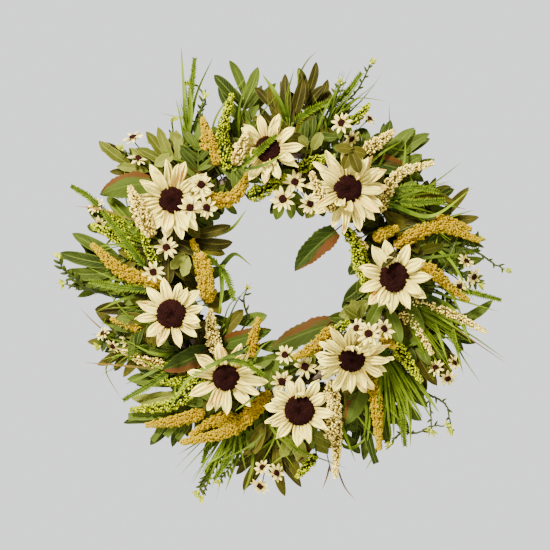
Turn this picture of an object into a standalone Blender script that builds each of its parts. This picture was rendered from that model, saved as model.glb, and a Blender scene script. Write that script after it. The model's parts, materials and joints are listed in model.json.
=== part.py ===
"""Harvest door wreath: a bundle of vines, with sunflowers, daisies, flower spikes and leaf sprays on wired
stems that are pushed into the grooves between the vines, and a wire hanger that turns round the bundle.

Blender 4.5, in metres, +Z up. The wreath hangs facing -Y. The origin is the point of the hanger eye that
rests on the nail. Places on the wreath are given in millimetres from its centre: to the right, up, and
forward of the plane of the hanger eye."""

import math

import bmesh
import bpy
from mathutils import Vector

MM = 0.001

# Vine bundle
RING_RADIUS = 155.0
RING_DEPTH = 24.0
STRAND_RADIUS = 8.0
STRAND_ORBIT = 15.5  # from the middle of the bundle to the middle of each vine
STRAND_COUNT = 4
STRAND_WOBBLE = 0.4
STRAND_SEGMENTS = 44
BUNDLE_RADIUS = STRAND_ORBIT + STRAND_RADIUS
ROOT_DEPTH = 5.0  # how far from the middle of the bundle a stem ends
STEM_RADIUS = 1.9
STEM_START = BUNDLE_RADIUS + 2.0  # how far from the middle of the bundle a stem may bend
BRANCH_RADIUS = 1.3
SMOOTH_BELOW = math.radians(40.0)  # edges sharper than this stay sharp

# Wire ties
TIE_WIRE_RADIUS = 1.0
TIE_RADIUS = BUNDLE_RADIUS + 2.3
TIE_ANGLES = (20.0, 132.0, 254.0)

# Wire hanger
HANGER_WIRE_RADIUS = 1.2
HANGER_WRAP_RADIUS = BUNDLE_RADIUS + 4.0
HANGER_NECK_RADIUS = 1.9
HANGER_NECK_ANGLE = math.radians(60.0)  # above the back of the bundle
EYE_RADIUS = 11.0
EYE_INSIDE = EYE_RADIUS - HANGER_WIRE_RADIUS
EYE_LIFT = 44.0  # eye centre above the middle of the bundle
WREATH_DROP = RING_RADIUS + EYE_LIFT + EYE_INSIDE  # wreath centre below the nail

# Sunflower heads
PETAL_COUNT = 12
PETAL_THICKNESS = 2.4
PETAL_VALLEY = 0.56  # of the petals' outer radius
PETAL_RISE = 0.22  # of a petal's free length
PEG_RADIUS = 3.0
PEG_HOLE_RADIUS = 3.7
CALYX_RADIUS = 14.0
FIT_GAP = 0.4
# name: right, up, forward, petal radius, seed centre radius, lean to the right, lean upwards
SUNFLOWERS = {
    "sunflower_1": (-19, 166, 90, 47, 17.5, -0.15, -0.05),
    "sunflower_2": (86, 113, 96, 56, 19.0, 0.15, -0.10),
    "sunflower_3": (147, -3, 92, 49, 20.0, 0.00, 0.05),
    "sunflower_4": (91, -110, 94, 54, 19.0, 0.05, -0.50),
    "sunflower_5": (23, -178, 92, 47, 20.5, -0.05, -0.05),
    "sunflower_6": (-74, -135, 92, 54, 18.0, 0.00, -0.15),
    "sunflower_7": (-146, -52, 90, 47, 20.0, -0.05, 0.05),
    "sunflower_8": (-146, 99, 84, 54, 18.0, 0.12, -0.12),
}

SPIKE_CLIMB = 0.7  # of the way forward, that a spike's stem goes straight up before it bends
# Flower spikes. name: root angle, groove, forward, thickest radius, then right and up of the start, middle
# and tip
YELLOW_SPIKES = {
    "yellow_spike_1": (138, "front", 62, 9.0, (-78, 92), (-60, 115), (-38, 137)),
    "yellow_spike_2": (191, "inner", 62, 11.0, (-96, -34), (-106, 4), (-120, 46)),
    "yellow_spike_3": (183, "front", 58, 10.0, (-192, -10), (-224, 16), (-255, 38)),
    "yellow_spike_4": (-97, "front", 64, 9.5, (-26, -176), (-76, -208), (-133, -225)),
    "yellow_spike_5": (-40, "front", 62, 9.5, (121, -140), (128, -186), (129, -232)),
    "yellow_spike_6": (14, "front", 60, 9.5, (186, 62), (226, 62), (263, 47)),
}
LIME_SPIKES = {
    "lime_spike_1": (116, "front", 60, 9.0, (-80, 160), (-76, 200), (-68, 241)),
    "lime_spike_2": (38, "inner", 60, 8.0, (84, 62), (108, 24), (119, -28)),
    "lime_spike_3": (-129, "front", 58, 9.5, (-132, -166), (-166, -178), (-201, -181)),
}
CREAM_SPIKES = {
    "cream_spike_1": (161, "front", 56, 8.5, (-172, 52), (-196, 84), (-204, 116)),
    "cream_spike_2": (33, "front", 60, 8.5, (146, 126), (172, 142), (200, 150)),
    "cream_spike_3": (-65, "front", 60, 9.5, (72, -206), (74, -238), (70, -270)),
    "cream_spike_4": (-13, "front", 58, 8.5, (214, -48), (244, -60), (272, -76)),
}

LEAF_BOW = 0.06  # of a leaf's length
LEAF_RIB = 1.1
LEAF_FORK = 0.4  # of the way from the hub to the end leaf's tip
LEAF_STEM_END_RADIUS = 1.6
# Leaf sprays. name: colour, root angle, hub, leaf half width, then the tip of each leaf
LEAF_SPRAYS = {
    "leaf_spray_1": ("green", 109, (-50, 214, 30), 8, (
        (-71, 289, 34), (-32, 280, 38), (-86, 256, 26), (-8, 259, 30), (-24, 236, 44))),
    "leaf_spray_2": ("olive", 80, (20, 208, 28), 7, (
        (46, 287, 36), (22, 280, 26), (62, 264, 30), (-2, 262, 24), (56, 236, 40))),
    "leaf_spray_3": ("green", 45, (136, 160, 30), 9, (
        (138, 206, 24), (180, 196, 34), (200, 184, 30), (190, 158, 26))),
    "leaf_spray_4": ("olive", 21, (190, 90, 28), 8, (
        (252, 118, 34), (208, 132, 26), (266, 78, 30), (268, 38, 36), (230, 48, 24))),
    "leaf_spray_5": ("green", -20, (186, -58, 28), 8, (
        (284, -34, 34), (262, -92, 28), (254, -60, 40), (232, -112, 32))),
    "leaf_spray_6": ("green", -57, (104, -176, 28), 8, (
        (72, -238, 30), (110, -250, 36), (140, -224, 28), (160, -200, 38))),
    "leaf_spray_7": ("olive", -93, (-12, -222, 28), 8, (
        (-62, -270, 30), (-52, -290, 38), (2, -288, 28), (26, -286, 36), (-66, -240, 24))),
    "leaf_spray_8": ("green", -124, (-126, -176, 28), 9, (
        (-214, -200, 34), (-178, -230, 28), (-148, -232, 36), (-116, -228, 28))),
    "leaf_spray_9": ("green", 176, (-206, -2, 28), 9, (
        (-302, 26, 36), (-291, -2, 24), (-276, 56, 34), (-276, -30, 32))),
    "leaf_spray_10": ("olive", 145, (-176, 126, 26), 8, (
        (-244, 178, 32), (-240, 108, 24), (-170, 186, 36), (-200, 162, 20))),
    "leaf_spray_11": ("olive", 207, (-186, -90, 26), 8, (
        (-252, -48, 30), (-262, -90, 38), (-250, -122, 24), (-214, -138, 34))),
}

DAISY_PINCH = 0.62  # radius between two petals, of the petals' own
DAISY_NECK = (13.0, 4.0)  # where a daisy's stem becomes straight and where it ends, behind the head
# Daisy sprays. name: root angle, groove, fork, then each head's place and its lean to the right and upwards
DAISY_SPRAYS = {
    "daisy_spray_1": (125, "front", (-90, 114, 98), (
        (-106, 118, 114, 0.1, 0.1), (-120, 88, 119, -0.1, -0.1), (-99, 88, 118, 0.1, -0.1))),
    "daisy_spray_2": (79, "inner", (22, 112, 62), (
        (17, 123, 78, 0.1, 0.1), (1, 101, 78, -0.1, -0.1), (37, 95, 74, 0.1, -0.1))),
    "daisy_spray_3": (-87, "inner", (12, -124, 60), (
        (4, -106, 74, -0.1, 0.2), (30, -122, 76, 0.2, 0.1), (0, -141, 78, -0.1, -0.1))),
    "daisy_spray_4": (172, "front", (-158, 22, 72), (
        (-153, 36, 86, 0.1, 0.1), (-170, 4, 86, -0.1, -0.1))),
}

COLOURS = {
    "vine": ((0.20, 0.12, 0.07, 1), 0.85, 0.0),
    "wire": ((0.10, 0.14, 0.08, 1), 0.45, 0.6),
    "petal": ((0.86, 0.78, 0.58, 1), 0.80, 0.0),
    "seed": ((0.06, 0.015, 0.012, 1), 0.95, 0.0),
    "stem": ((0.12, 0.20, 0.05, 1), 0.60, 0.0),
    "yellow": ((0.85, 0.52, 0.05, 1), 0.70, 0.0),
    "lime": ((0.48, 0.56, 0.12, 1), 0.70, 0.0),
    "cream": ((0.82, 0.70, 0.42, 1), 0.70, 0.0),
    "green": ((0.16, 0.30, 0.07, 1), 0.65, 0.0),
    "olive": ((0.20, 0.20, 0.06, 1), 0.65, 0.0),
}


def place(right, up, forward):
    return Vector((right, -forward, up)) * MM


def on_ring(angle, radius, forward):
    turn = math.radians(angle)
    return place(radius * math.cos(turn), radius * math.sin(turn), forward)


def material(name):
    found = bpy.data.materials.get(name)
    if found:
        return found
    colour, roughness, metallic = COLOURS[name]
    made = bpy.data.materials.new(name)
    made.use_nodes = True
    shader = made.node_tree.nodes["Principled BSDF"]
    shader.inputs["Base Color"].default_value = colour
    shader.inputs["Roughness"].default_value = roughness
    shader.inputs["Metallic"].default_value = metallic
    return made


def add_object(name, mesh, colour, parent):
    obj = bpy.data.objects.new(name, mesh)
    obj.data.materials.append(material(colour))
    obj.parent = parent
    bpy.context.scene.collection.objects.link(obj)
    return obj


def helper(obj):
    """A cutter or a piece that is joined into another: the build leaves it out."""
    obj.hide_render = True
    obj.display_type = "WIRE"


def loft(name, rings, closed=False):
    """A closed mesh through rings that have the same number of points. An open loft gets flat ends."""
    bm = bmesh.new()
    loops = [[bm.verts.new(p) for p in ring] for ring in rings]
    pairs = list(zip(loops, loops[1:]))
    if closed:
        pairs.append((loops[-1], loops[0]))
    for low, high in pairs:
        for i in range(len(low)):
            j = (i + 1) % len(low)
            bm.faces.new((low[i], low[j], high[j], high[i]))
    if not closed:
        bm.faces.new(list(reversed(loops[0])))
        bm.faces.new(loops[-1])
    bmesh.ops.recalc_face_normals(bm, faces=bm.faces)
    mesh = bpy.data.meshes.new(name)
    bm.to_mesh(mesh)
    bm.free()
    mesh.shade_smooth()
    mesh.set_sharp_from_angle(angle=SMOOTH_BELOW)
    return mesh


def frames_along(points, side):
    """The tangent, side and face direction at each point of a path, turned as little as possible."""
    frames = []
    for i, point in enumerate(points):
        before = points[max(i - 1, 0)]
        after = points[min(i + 1, len(points) - 1)]
        tangent = (after - before).normalized()
        if frames:
            side = frames[-1][0].rotation_difference(tangent) @ frames[-1][1]
        side = (side - tangent * side.dot(tangent)).normalized()
        frames.append((tangent, side, tangent.cross(side)))
    return frames


def tube(name, points, radii, sides):
    """A round tube through points, with its own radius at each."""
    rings = []
    start = Vector((0.31, 0.42, 0.85))
    for point, radius, (_, side, face) in zip(points, radii, frames_along(points, start)):
        turns = [2 * math.pi * i / sides for i in range(sides)]
        rings.append([point + (side * math.cos(a) + face * math.sin(a)) * radius for a in turns])
    return loft(name, rings)


def join(body, pieces):
    """Joins helper pieces into one body."""
    for piece in pieces:
        helper(piece)
        union = body.modifiers.new(piece.name, "BOOLEAN")
        union.operation = "UNION"
        union.solver = "EXACT"
        union.object = piece


def root_path(angle, groove):
    """Two points of a stem where it leaves the bundle, from between the vines."""
    out = {"front": 0.0, "inner": -1.0, "outer": 1.0}[groove]
    forward = 1.0 if groove == "front" else 0.0
    path = []
    for reach in (ROOT_DEPTH, STEM_START):
        path.append(on_ring(angle, RING_RADIUS + out * reach, RING_DEPTH + forward * reach))
    return path


def ring_frame(angle):
    """Out from the wreath's centre, and forward, at an angle round the ring."""
    turn = math.radians(angle)
    return Vector((math.cos(turn), 0, math.sin(turn))), Vector((0, -1, 0))


def make_strand(index, parent):
    """One vine, a closed loop that keeps to its quarter of the bundle."""
    section = math.radians(45 + 360 / STRAND_COUNT * index)
    rings = []
    for step in range(STRAND_SEGMENTS):
        angle = 360 * step / STRAND_SEGMENTS
        out, forward = ring_frame(angle)
        wobble = STRAND_WOBBLE * math.sin(math.radians(3 * angle) + 2 * index)
        orbit = (STRAND_ORBIT + wobble) * MM
        middle = on_ring(angle, RING_RADIUS, RING_DEPTH)
        middle += (out * math.cos(section) + forward * math.sin(section)) * orbit
        ring = []
        for i in range(6):
            turn = math.radians(60 * i)
            ring.append(middle + (out * math.cos(turn) + forward * math.sin(turn)) * STRAND_RADIUS * MM)
        rings.append(ring)
    name = f"vine_{index + 1}"
    add_object(name, loft(name, rings, closed=True), "vine", parent)


def wire_ring(name, radius, wire, segments):
    """A ring of wire round local Z."""
    rings = []
    for step in range(segments):
        turn = 2 * math.pi * step / segments
        out = Vector((math.cos(turn), math.sin(turn), 0))
        ring = []
        for i in range(6):
            round_wire = math.radians(60 * i)
            aside = Vector((0, 0, wire * math.sin(round_wire)))
            ring.append((out * (radius + wire * math.cos(round_wire)) + aside) * MM)
        rings.append(ring)
    return loft(name, rings, closed=True)


def make_tie(index, parent):
    """A wire tie round the bundle."""
    angle = TIE_ANGLES[index]
    name = f"wire_tie_{index + 1}"
    tie = add_object(name, wire_ring(name, TIE_RADIUS, TIE_WIRE_RADIUS, 18), "wire", parent)
    tie.location = on_ring(angle, RING_RADIUS, RING_DEPTH)
    out, forward = ring_frame(angle)
    tie.rotation_mode = "QUATERNION"
    tie.rotation_quaternion = out.cross(forward).to_track_quat("Z", "Y")


def make_hanger(parent):
    """The hanger: a wire loop round the bundle, a twisted neck and an eye for the nail."""
    axle = bpy.data.objects.new("hanger_axle", None)
    axle.location = on_ring(90, RING_RADIUS, RING_DEPTH)
    axle.parent = parent
    bpy.context.scene.collection.objects.link(axle)
    loop = wire_ring("wire_hanger", HANGER_WRAP_RADIUS, HANGER_WIRE_RADIUS, 24)
    wrap = add_object("wire_hanger", loop, "wire", axle)
    wrap.rotation_euler = (0, math.radians(90), 0)
    back = Vector((0, math.cos(HANGER_NECK_ANGLE), math.sin(HANGER_NECK_ANGLE)))
    eye_centre = Vector((0, RING_DEPTH, EYE_LIFT)) * MM
    low = back * HANGER_WRAP_RADIUS * MM
    high = eye_centre - Vector((0, 0, EYE_RADIUS)) * MM
    strand = tube("hanger_neck", [low, high], [HANGER_NECK_RADIUS * MM] * 2, 8)
    neck = add_object("hanger_neck", strand, "wire", axle)
    eye_ring = wire_ring("hanger_eye", EYE_RADIUS, HANGER_WIRE_RADIUS, 20)
    eye = add_object("hanger_eye", eye_ring, "wire", axle)
    eye.location = eye_centre
    eye.rotation_euler = (math.radians(90), 0, 0)
    join(wrap, [neck, eye])


def petal_mesh(name, outer):
    """A ring of petals round a hole for the peg, flat under the seed centre and cupped outside it."""
    valley = outer * PETAL_VALLEY
    rise = PETAL_RISE * (outer - valley)
    step = 2 * math.pi / PETAL_COUNT
    # radius, share of a petal's angle, height of each point of one petal, from its hole to its far side
    profile = (
        (PEG_HOLE_RADIUS, 0.0, 0.0),
        (valley, 0.0, 0.0),
        (outer * 0.83, 0.2, rise * 0.6),
        (outer, 0.5, rise),
        (outer * 0.83, 0.8, rise * 0.6),
    )
    bm = bmesh.new()
    layers = []
    for lift in (0.0, PETAL_THICKNESS):
        rows = []
        for petal in range(PETAL_COUNT):
            row = []
            for radius, share, height in profile:
                turn = (petal + share) * step
                point = Vector((radius * math.cos(turn), radius * math.sin(turn), height + lift))
                row.append(bm.verts.new(point * MM))
            rows.append(row)
        layers.append(rows)
    low, high = layers
    for petal in range(PETAL_COUNT):
        after = (petal + 1) % PETAL_COUNT
        for rows in layers:
            hole, start, *edge = rows[petal]
            next_hole, next_start = rows[after][:2]
            bm.faces.new((hole, start, next_start, next_hole))
            bm.faces.new((start, *edge, next_start))
        bm.faces.new((low[petal][0], low[after][0], high[after][0], high[petal][0]))
        rim = [*range(1, len(profile))]
        below = [low[petal][i] for i in rim] + [low[after][1]]
        above = [high[petal][i] for i in rim] + [high[after][1]]
        for i in range(len(rim)):
            bm.faces.new((below[i], below[i + 1], above[i + 1], above[i]))
    bmesh.ops.recalc_face_normals(bm, faces=bm.faces)
    mesh = bpy.data.meshes.new(name)
    bm.to_mesh(mesh)
    bm.free()
    return mesh


def dome_mesh(name, radius, low):
    """The seed centre: a flat-backed low dome."""
    # each ring's radius and height, as shares of the centre's radius
    profile = ((1.0, 0.0), (1.0, 0.18), (0.82, 0.40), (0.45, 0.52))
    sides = 14
    rings = []
    for share, height in profile:
        ring = []
        for i in range(sides):
            turn = 2 * math.pi * i / sides
            point = Vector((share * math.cos(turn), share * math.sin(turn), height + low / radius))
            ring.append(point * radius * MM)
        rings.append(ring)
    return loft(name, rings)


def make_sunflower(name, parent):
    """Petals, seed centre, and a stem whose calyx holds the petals and whose peg goes through them."""
    right, up, forward, outer, seed, lean_right, lean_up = SUNFLOWERS[name]
    head = bpy.data.objects.new(name + "_head", None)
    head.parent = parent
    head.location = place(right, up, forward)
    head.rotation_mode = "QUATERNION"
    facing = Vector((lean_right, -1, lean_up)).normalized()
    head.rotation_quaternion = facing.to_track_quat("Z", "Y")
    bpy.context.scene.collection.objects.link(head)
    petals = name + "_petals"
    add_object(petals, petal_mesh(petals, outer), "petal", head)
    centre = name + "_centre"
    add_object(centre, dome_mesh(centre, seed, PETAL_THICKNESS + FIT_GAP), "seed", head)
    angle = math.degrees(math.atan2(up, right))
    turned = head.rotation_quaternion.inverted()
    root = [turned @ (point - head.location) for point in root_path(angle, "front")]
    # height along the flower's own axis and radius, from the stem through the calyx to the peg's end
    profile = (
        (-24.0, STEM_RADIUS),
        (-13.0, STEM_RADIUS),
        (-8.0, 6.0),
        (-3.0, 0.9 * CALYX_RADIUS),
        (-FIT_GAP - 0.3, CALYX_RADIUS),
        (-FIT_GAP, PEG_RADIUS),
        (PETAL_THICKNESS - 0.2, PEG_RADIUS),
    )
    points = root + [Vector((0, 0, height * MM)) for height, _ in profile]
    radii = [STEM_RADIUS * MM] * len(root) + [radius * MM for _, radius in profile]
    stem = name + "_stem"
    add_object(stem, tube(stem, points, radii, 8), "stem", head)


def arc_point(start, middle, tip, share):
    """A point on the quadratic curve that passes through all three points."""
    bend = middle * 2 - (start + tip) / 2
    return start * (1 - share) ** 2 + bend * 2 * share * (1 - share) + tip * share**2


def make_spike(name, row, colour, parent):
    """A flower spike on its stem. The beads stay one tapered body here."""
    angle, groove, forward, thick, *course = row
    start, middle, tip = (place(right, up, forward) for right, up in course)
    points = root_path(angle, groove)
    radii = [STEM_RADIUS] * len(points)
    if groove == "front":
        climb = (forward - RING_DEPTH - STEM_START) * SPIKE_CLIMB
        lifted = points[-1] + Vector((0, -climb * MM, 0))
        points.append(lifted)
        radii.append(STEM_RADIUS)
    # share of the spike's length, and share of its thickest radius
    profile = ((0.0, 0.3), (0.06, 0.8), (0.3, 1.0), (0.6, 0.92), (0.85, 0.62), (1.0, 0.2))
    for share, width in profile:
        points.append(arc_point(start, middle, tip, share))
        radii.append(thick * width)
    add_object(name, tube(name, points, [radius * MM for radius in radii], 7), colour, parent)


def leaf_mesh(name, hub, tip, half_width):
    """One leaf as a thin blade with a raised midrib on both faces, arched a little forward."""
    length = (tip - hub).length
    bow = Vector((0, -LEAF_BOW * length, 0))
    # share of the leaf's length, share of its half width
    profile = ((0.0, 0.2), (0.32, 0.42), (0.62, 1.0), (0.86, 0.66), (1.0, 0.12))
    points = [hub.lerp(tip, share) + bow * math.sin(math.pi * share) for share, _ in profile]
    across = (tip - hub).cross(Vector((0, -1, 0)))
    rings = []
    for point, (_, width), (_, side, face) in zip(points, profile, frames_along(points, across)):
        half = side * half_width * width * MM
        rib = face * LEAF_RIB * MM
        rings.append([point - half, point - rib, point + half, point + rib])
    return loft(name, rings)


def make_leaf_spray(name, parent):
    """A stem from the outer groove, the leaf at its end, and side leaves that leave it in turn."""
    colour, angle, hub, half_width, tips = LEAF_SPRAYS[name]
    hub = place(*hub)
    end, *side_tips = (place(*tip) for tip in tips)
    fork = hub.lerp(end, LEAF_FORK)
    radii = [STEM_RADIUS * MM] * 3 + [LEAF_STEM_END_RADIUS * MM]
    points = [*root_path(angle, "outer"), hub, fork.lerp(end, 0.05)]
    stem = add_object(name, tube(name, points, radii, 6), colour, parent)
    starts = [fork] + [hub.lerp(fork, i / len(side_tips)) for i in range(len(side_tips))]
    leaves = []
    for number, (start, tip) in enumerate(zip(starts, [end, *side_tips])):
        leaf = f"{name}_leaf_{number + 1}"
        leaves.append(add_object(leaf, leaf_mesh(leaf, start, tip, half_width), colour, parent))
    join(stem, leaves)


def daisy_mesh(name):
    """A small head with six petals, a cone behind them and a low centre in front, along local Z."""
    sides = 12
    # radius, height, and whether the ring is pinched between the petals
    profile = (
        (1.6, -6.0, False),
        (14.4, -0.9, True),
        (14.4, 0.7, True),
        (5.5, 1.0, False),
        (4.2, 3.4, False),
    )
    rings = []
    for radius, height, starry in profile:
        ring = []
        for i in range(sides):
            turn = 2 * math.pi * i / sides
            reach = radius * DAISY_PINCH if starry and i % 2 == 0 else radius
            ring.append(Vector((reach * math.cos(turn), reach * math.sin(turn), height)) * MM)
        rings.append(ring)
    return loft(name, rings)


def make_daisy_spray(name, parent):
    """A stem whose last bend carries the first head, and a branch from it to each other head."""
    angle, groove, fork, heads = DAISY_SPRAYS[name]
    fork = place(*fork)
    points = root_path(angle, groove)
    if groove == "front":
        points.append(points[-1].lerp(Vector((points[-1].x, fork.y, points[-1].z)), 0.6))
    points.append(fork)
    spray = None
    pieces = []
    for number, (right, up, forward, lean_right, lean_up) in enumerate(heads):
        centre = place(right, up, forward)
        facing = Vector((lean_right, -1, lean_up)).normalized()
        behind = [centre - facing * reach * MM for reach in DAISY_NECK]
        label = f"{name}_head_{number + 1}"
        head = add_object(label, daisy_mesh(label), "petal", parent)
        head.location = centre
        head.rotation_mode = "QUATERNION"
        head.rotation_quaternion = facing.to_track_quat("Z", "Y")
        pieces.append(head)
        if spray is None:
            radii = [STEM_RADIUS * MM] * len(points) + [BRANCH_RADIUS * MM] * 2
            spray = add_object(name, tube(name, points + behind, radii, 6), "petal", parent)
        else:
            start = fork + (points[-2] - fork).normalized() * 2 * number * MM
            label = f"{name}_branch_{number + 1}"
            twig = tube(label, [start, *behind], [BRANCH_RADIUS * MM] * 3, 5)
            branch = add_object(label, twig, "petal", parent)
            pieces.append(branch)
    join(spray, pieces)


def main():
    for obj in list(bpy.data.objects):
        bpy.data.objects.remove(obj)
    wreath = bpy.data.objects.new("wreath_centre", None)
    wreath.location = Vector((0, 0, -WREATH_DROP)) * MM
    bpy.context.scene.collection.objects.link(wreath)
    for index in range(STRAND_COUNT):
        make_strand(index, wreath)
    for index in range(len(TIE_ANGLES)):
        make_tie(index, wreath)
    make_hanger(wreath)
    for name in SUNFLOWERS:
        make_sunflower(name, wreath)
    for colour, spikes in (("yellow", YELLOW_SPIKES), ("lime", LIME_SPIKES), ("cream", CREAM_SPIKES)):
        for name, row in spikes.items():
            make_spike(name, row, colour, wreath)
    for name in LEAF_SPRAYS:
        make_leaf_spray(name, wreath)
    for name in DAISY_SPRAYS:
        make_daisy_spray(name, wreath)


main()
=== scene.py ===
"""Looks of the harvest door wreath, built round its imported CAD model.

Places are in millimetres from the wreath's centre: to the right, up, and forward of the plane of the hanger
eye. Pieces are worked out in millimetres, and turned into metres when their mesh is made. Colours are linear
red, green and blue."""

import json
import math
import zlib

import bpy
import numpy as np
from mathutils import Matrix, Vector


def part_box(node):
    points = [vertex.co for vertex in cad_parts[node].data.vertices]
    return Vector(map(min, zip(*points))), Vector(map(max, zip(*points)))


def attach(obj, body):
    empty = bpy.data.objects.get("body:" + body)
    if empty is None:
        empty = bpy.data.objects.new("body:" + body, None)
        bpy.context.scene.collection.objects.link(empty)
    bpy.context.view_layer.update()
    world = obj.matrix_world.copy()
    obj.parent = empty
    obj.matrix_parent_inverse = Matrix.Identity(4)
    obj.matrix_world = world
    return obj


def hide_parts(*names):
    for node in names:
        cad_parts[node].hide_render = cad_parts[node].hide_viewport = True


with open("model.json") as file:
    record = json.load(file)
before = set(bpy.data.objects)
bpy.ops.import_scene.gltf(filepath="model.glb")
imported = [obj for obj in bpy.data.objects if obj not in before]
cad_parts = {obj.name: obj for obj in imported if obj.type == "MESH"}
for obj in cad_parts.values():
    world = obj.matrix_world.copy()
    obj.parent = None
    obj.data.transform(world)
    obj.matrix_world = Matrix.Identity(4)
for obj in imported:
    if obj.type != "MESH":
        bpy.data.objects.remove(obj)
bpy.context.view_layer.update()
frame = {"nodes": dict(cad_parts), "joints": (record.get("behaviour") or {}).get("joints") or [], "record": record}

MM = 0.001
TURN = 2 * math.pi
GOLDEN_TURN = math.pi * (3 - math.sqrt(5))
# degrees between two faces that make their edge sharp
SHARP_EDGE = 60
# radians of the wave of cloth threads in a metre
THREAD_WAVE = 9000.0
FORWARD = np.array([0.0, -1.0, 0.0])
UP = np.array([0.0, 0.0, 1.0])


# ---------------------------------------------------------------- the frame

def node_box(node):
    """Lowest and highest corner of a CAD node, in millimetres."""
    low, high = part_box(node)
    return np.array(low) / MM, np.array(high) / MM


def node_points(node):
    """The different corners of a CAD node's mesh, in millimetres."""
    mesh = frame["nodes"][node].data
    flat = np.empty(len(mesh.vertices) * 3, np.float32)
    mesh.vertices.foreach_get("co", flat)
    return np.unique(np.round(flat.reshape(-1, 3) / MM, 2), axis=0)


def nodes_like(start):
    return sorted(node for node in frame["nodes"] if node.startswith(start))


VINES = nodes_like("vine_")
vine_low = np.min([node_box(n)[0] for n in VINES], axis=0)
vine_high = np.max([node_box(n)[1] for n in VINES], axis=0)
CENTRE = np.array([0, 0, (vine_low[2] + vine_high[2]) / 2])
BUNDLE_FORWARD = -(vine_low[1] + vine_high[1]) / 2
BUNDLE_RADIUS = (vine_high[1] - vine_low[1]) / 2
RING_RADIUS = vine_high[0] - BUNDLE_RADIUS


def place(right, up, forward):
    return CENTRE + np.array([right, -forward, up])


def on_ring(angle, radius, forward):
    turn = math.radians(angle)
    return place(radius * math.cos(turn), radius * math.sin(turn), forward)


def angle_of(point):
    """The angle round the ring of a point, in degrees."""
    right, _, up = point - CENTRE
    return math.degrees(math.atan2(up, right))


def sector_of(point):
    """Which sixth of the ring a point is in, from 0, counted from the right."""
    return int((angle_of(point) % 360) // 60)


def from_bundle(points):
    """How far points are from the middle line of the vine bundle."""
    off_ring = np.hypot(points[:, 0], points[:, 2] - CENTRE[2]) - RING_RADIUS
    return np.hypot(off_ring, points[:, 1] + BUNDLE_FORWARD)


def random_for(name):
    """A random source of its own for each piece, so that a change to one leaves the others as they are."""
    return np.random.default_rng(zlib.crc32(name.encode()))


# ---------------------------------------------------------------- meshes

def unit(vector):
    return vector / np.linalg.norm(vector, axis=-1, keepdims=True)


def smooth_path(points, count):
    """count points, evenly spread in parameter, on a smooth curve through points."""
    points = np.asarray(points, float)
    padded = np.vstack([2 * points[0] - points[1], points, 2 * points[-1] - points[-2]])
    where = np.linspace(0, len(points) - 1, count)
    start = np.minimum(where.astype(int), len(points) - 2)
    t = (where - start)[:, None]
    a, b, c, d = (padded[start + i] for i in range(4))
    return 0.5 * (2 * b + (c - a) * t + (2 * a - 5 * b + 4 * c - d) * t**2 + (3 * b - a - 3 * c + d) * t**3)


def transport(path, face):
    """Tangent, side and face direction at each point of a path, turned as little as possible along it."""
    tangents = unit(np.gradient(path, axis=0))
    faces = np.empty_like(path)
    last = np.asarray(face, float)
    for i, tangent in enumerate(tangents):
        last = last - tangent * np.dot(tangent, last)
        length = np.linalg.norm(last)
        if length < 1e-6:
            last = np.cross(tangent, [0.3, 0.5, 0.8])
            length = np.linalg.norm(last)
        last = last / length
        faces[i] = last
    return tangents, np.cross(faces, tangents), faces


def sheet_faces(rows, columns):
    """Faces of a closed thin sheet: its front points come first, then its back points."""
    index = np.arange(rows * columns).reshape(rows, columns)
    back = index + rows * columns
    corners = [index[:-1, :-1], index[1:, :-1], index[1:, 1:], index[:-1, 1:]]
    front_quads = np.stack(corners, -1).reshape(-1, 4)
    back_quads = front_quads[:, ::-1] + rows * columns
    edges = []
    for line, rear in ((index[::-1, 0], back[::-1, 0]), (index[:, -1], back[:, -1]),
                       (index[0], back[0]), (index[-1, ::-1], back[-1, ::-1])):
        edges.append(np.stack([line[:-1], line[1:], rear[1:], rear[:-1]], -1))
    return np.vstack([front_quads, back_quads, *edges])


def ball(rounds):
    """Points and triangles of a unit ball: an octahedron whose triangles are split a number of times."""
    points = [sign * corner for corner in np.eye(3) for sign in (1, -1)]
    faces = [(0, 2, 4), (2, 1, 4), (1, 3, 4), (3, 0, 4), (2, 0, 5), (1, 2, 5), (3, 1, 5), (0, 3, 5)]
    for _ in range(rounds):
        middles = {}
        split = []
        for face in faces:
            between = []
            for one, other in zip(face, face[1:] + face[:1]):
                key = (min(one, other), max(one, other))
                if key not in middles:
                    middles[key] = len(points)
                    points.append(unit(points[one] + points[other]))
                between.append(middles[key])
            (a, b, c), (x, y, z) = face, between
            split += [(a, x, z), (x, b, y), (z, y, c), (x, y, z)]
        faces = split
    return np.array(points), np.array(faces)


BEAD_POINTS, BEAD_FACES = ball(1)


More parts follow.
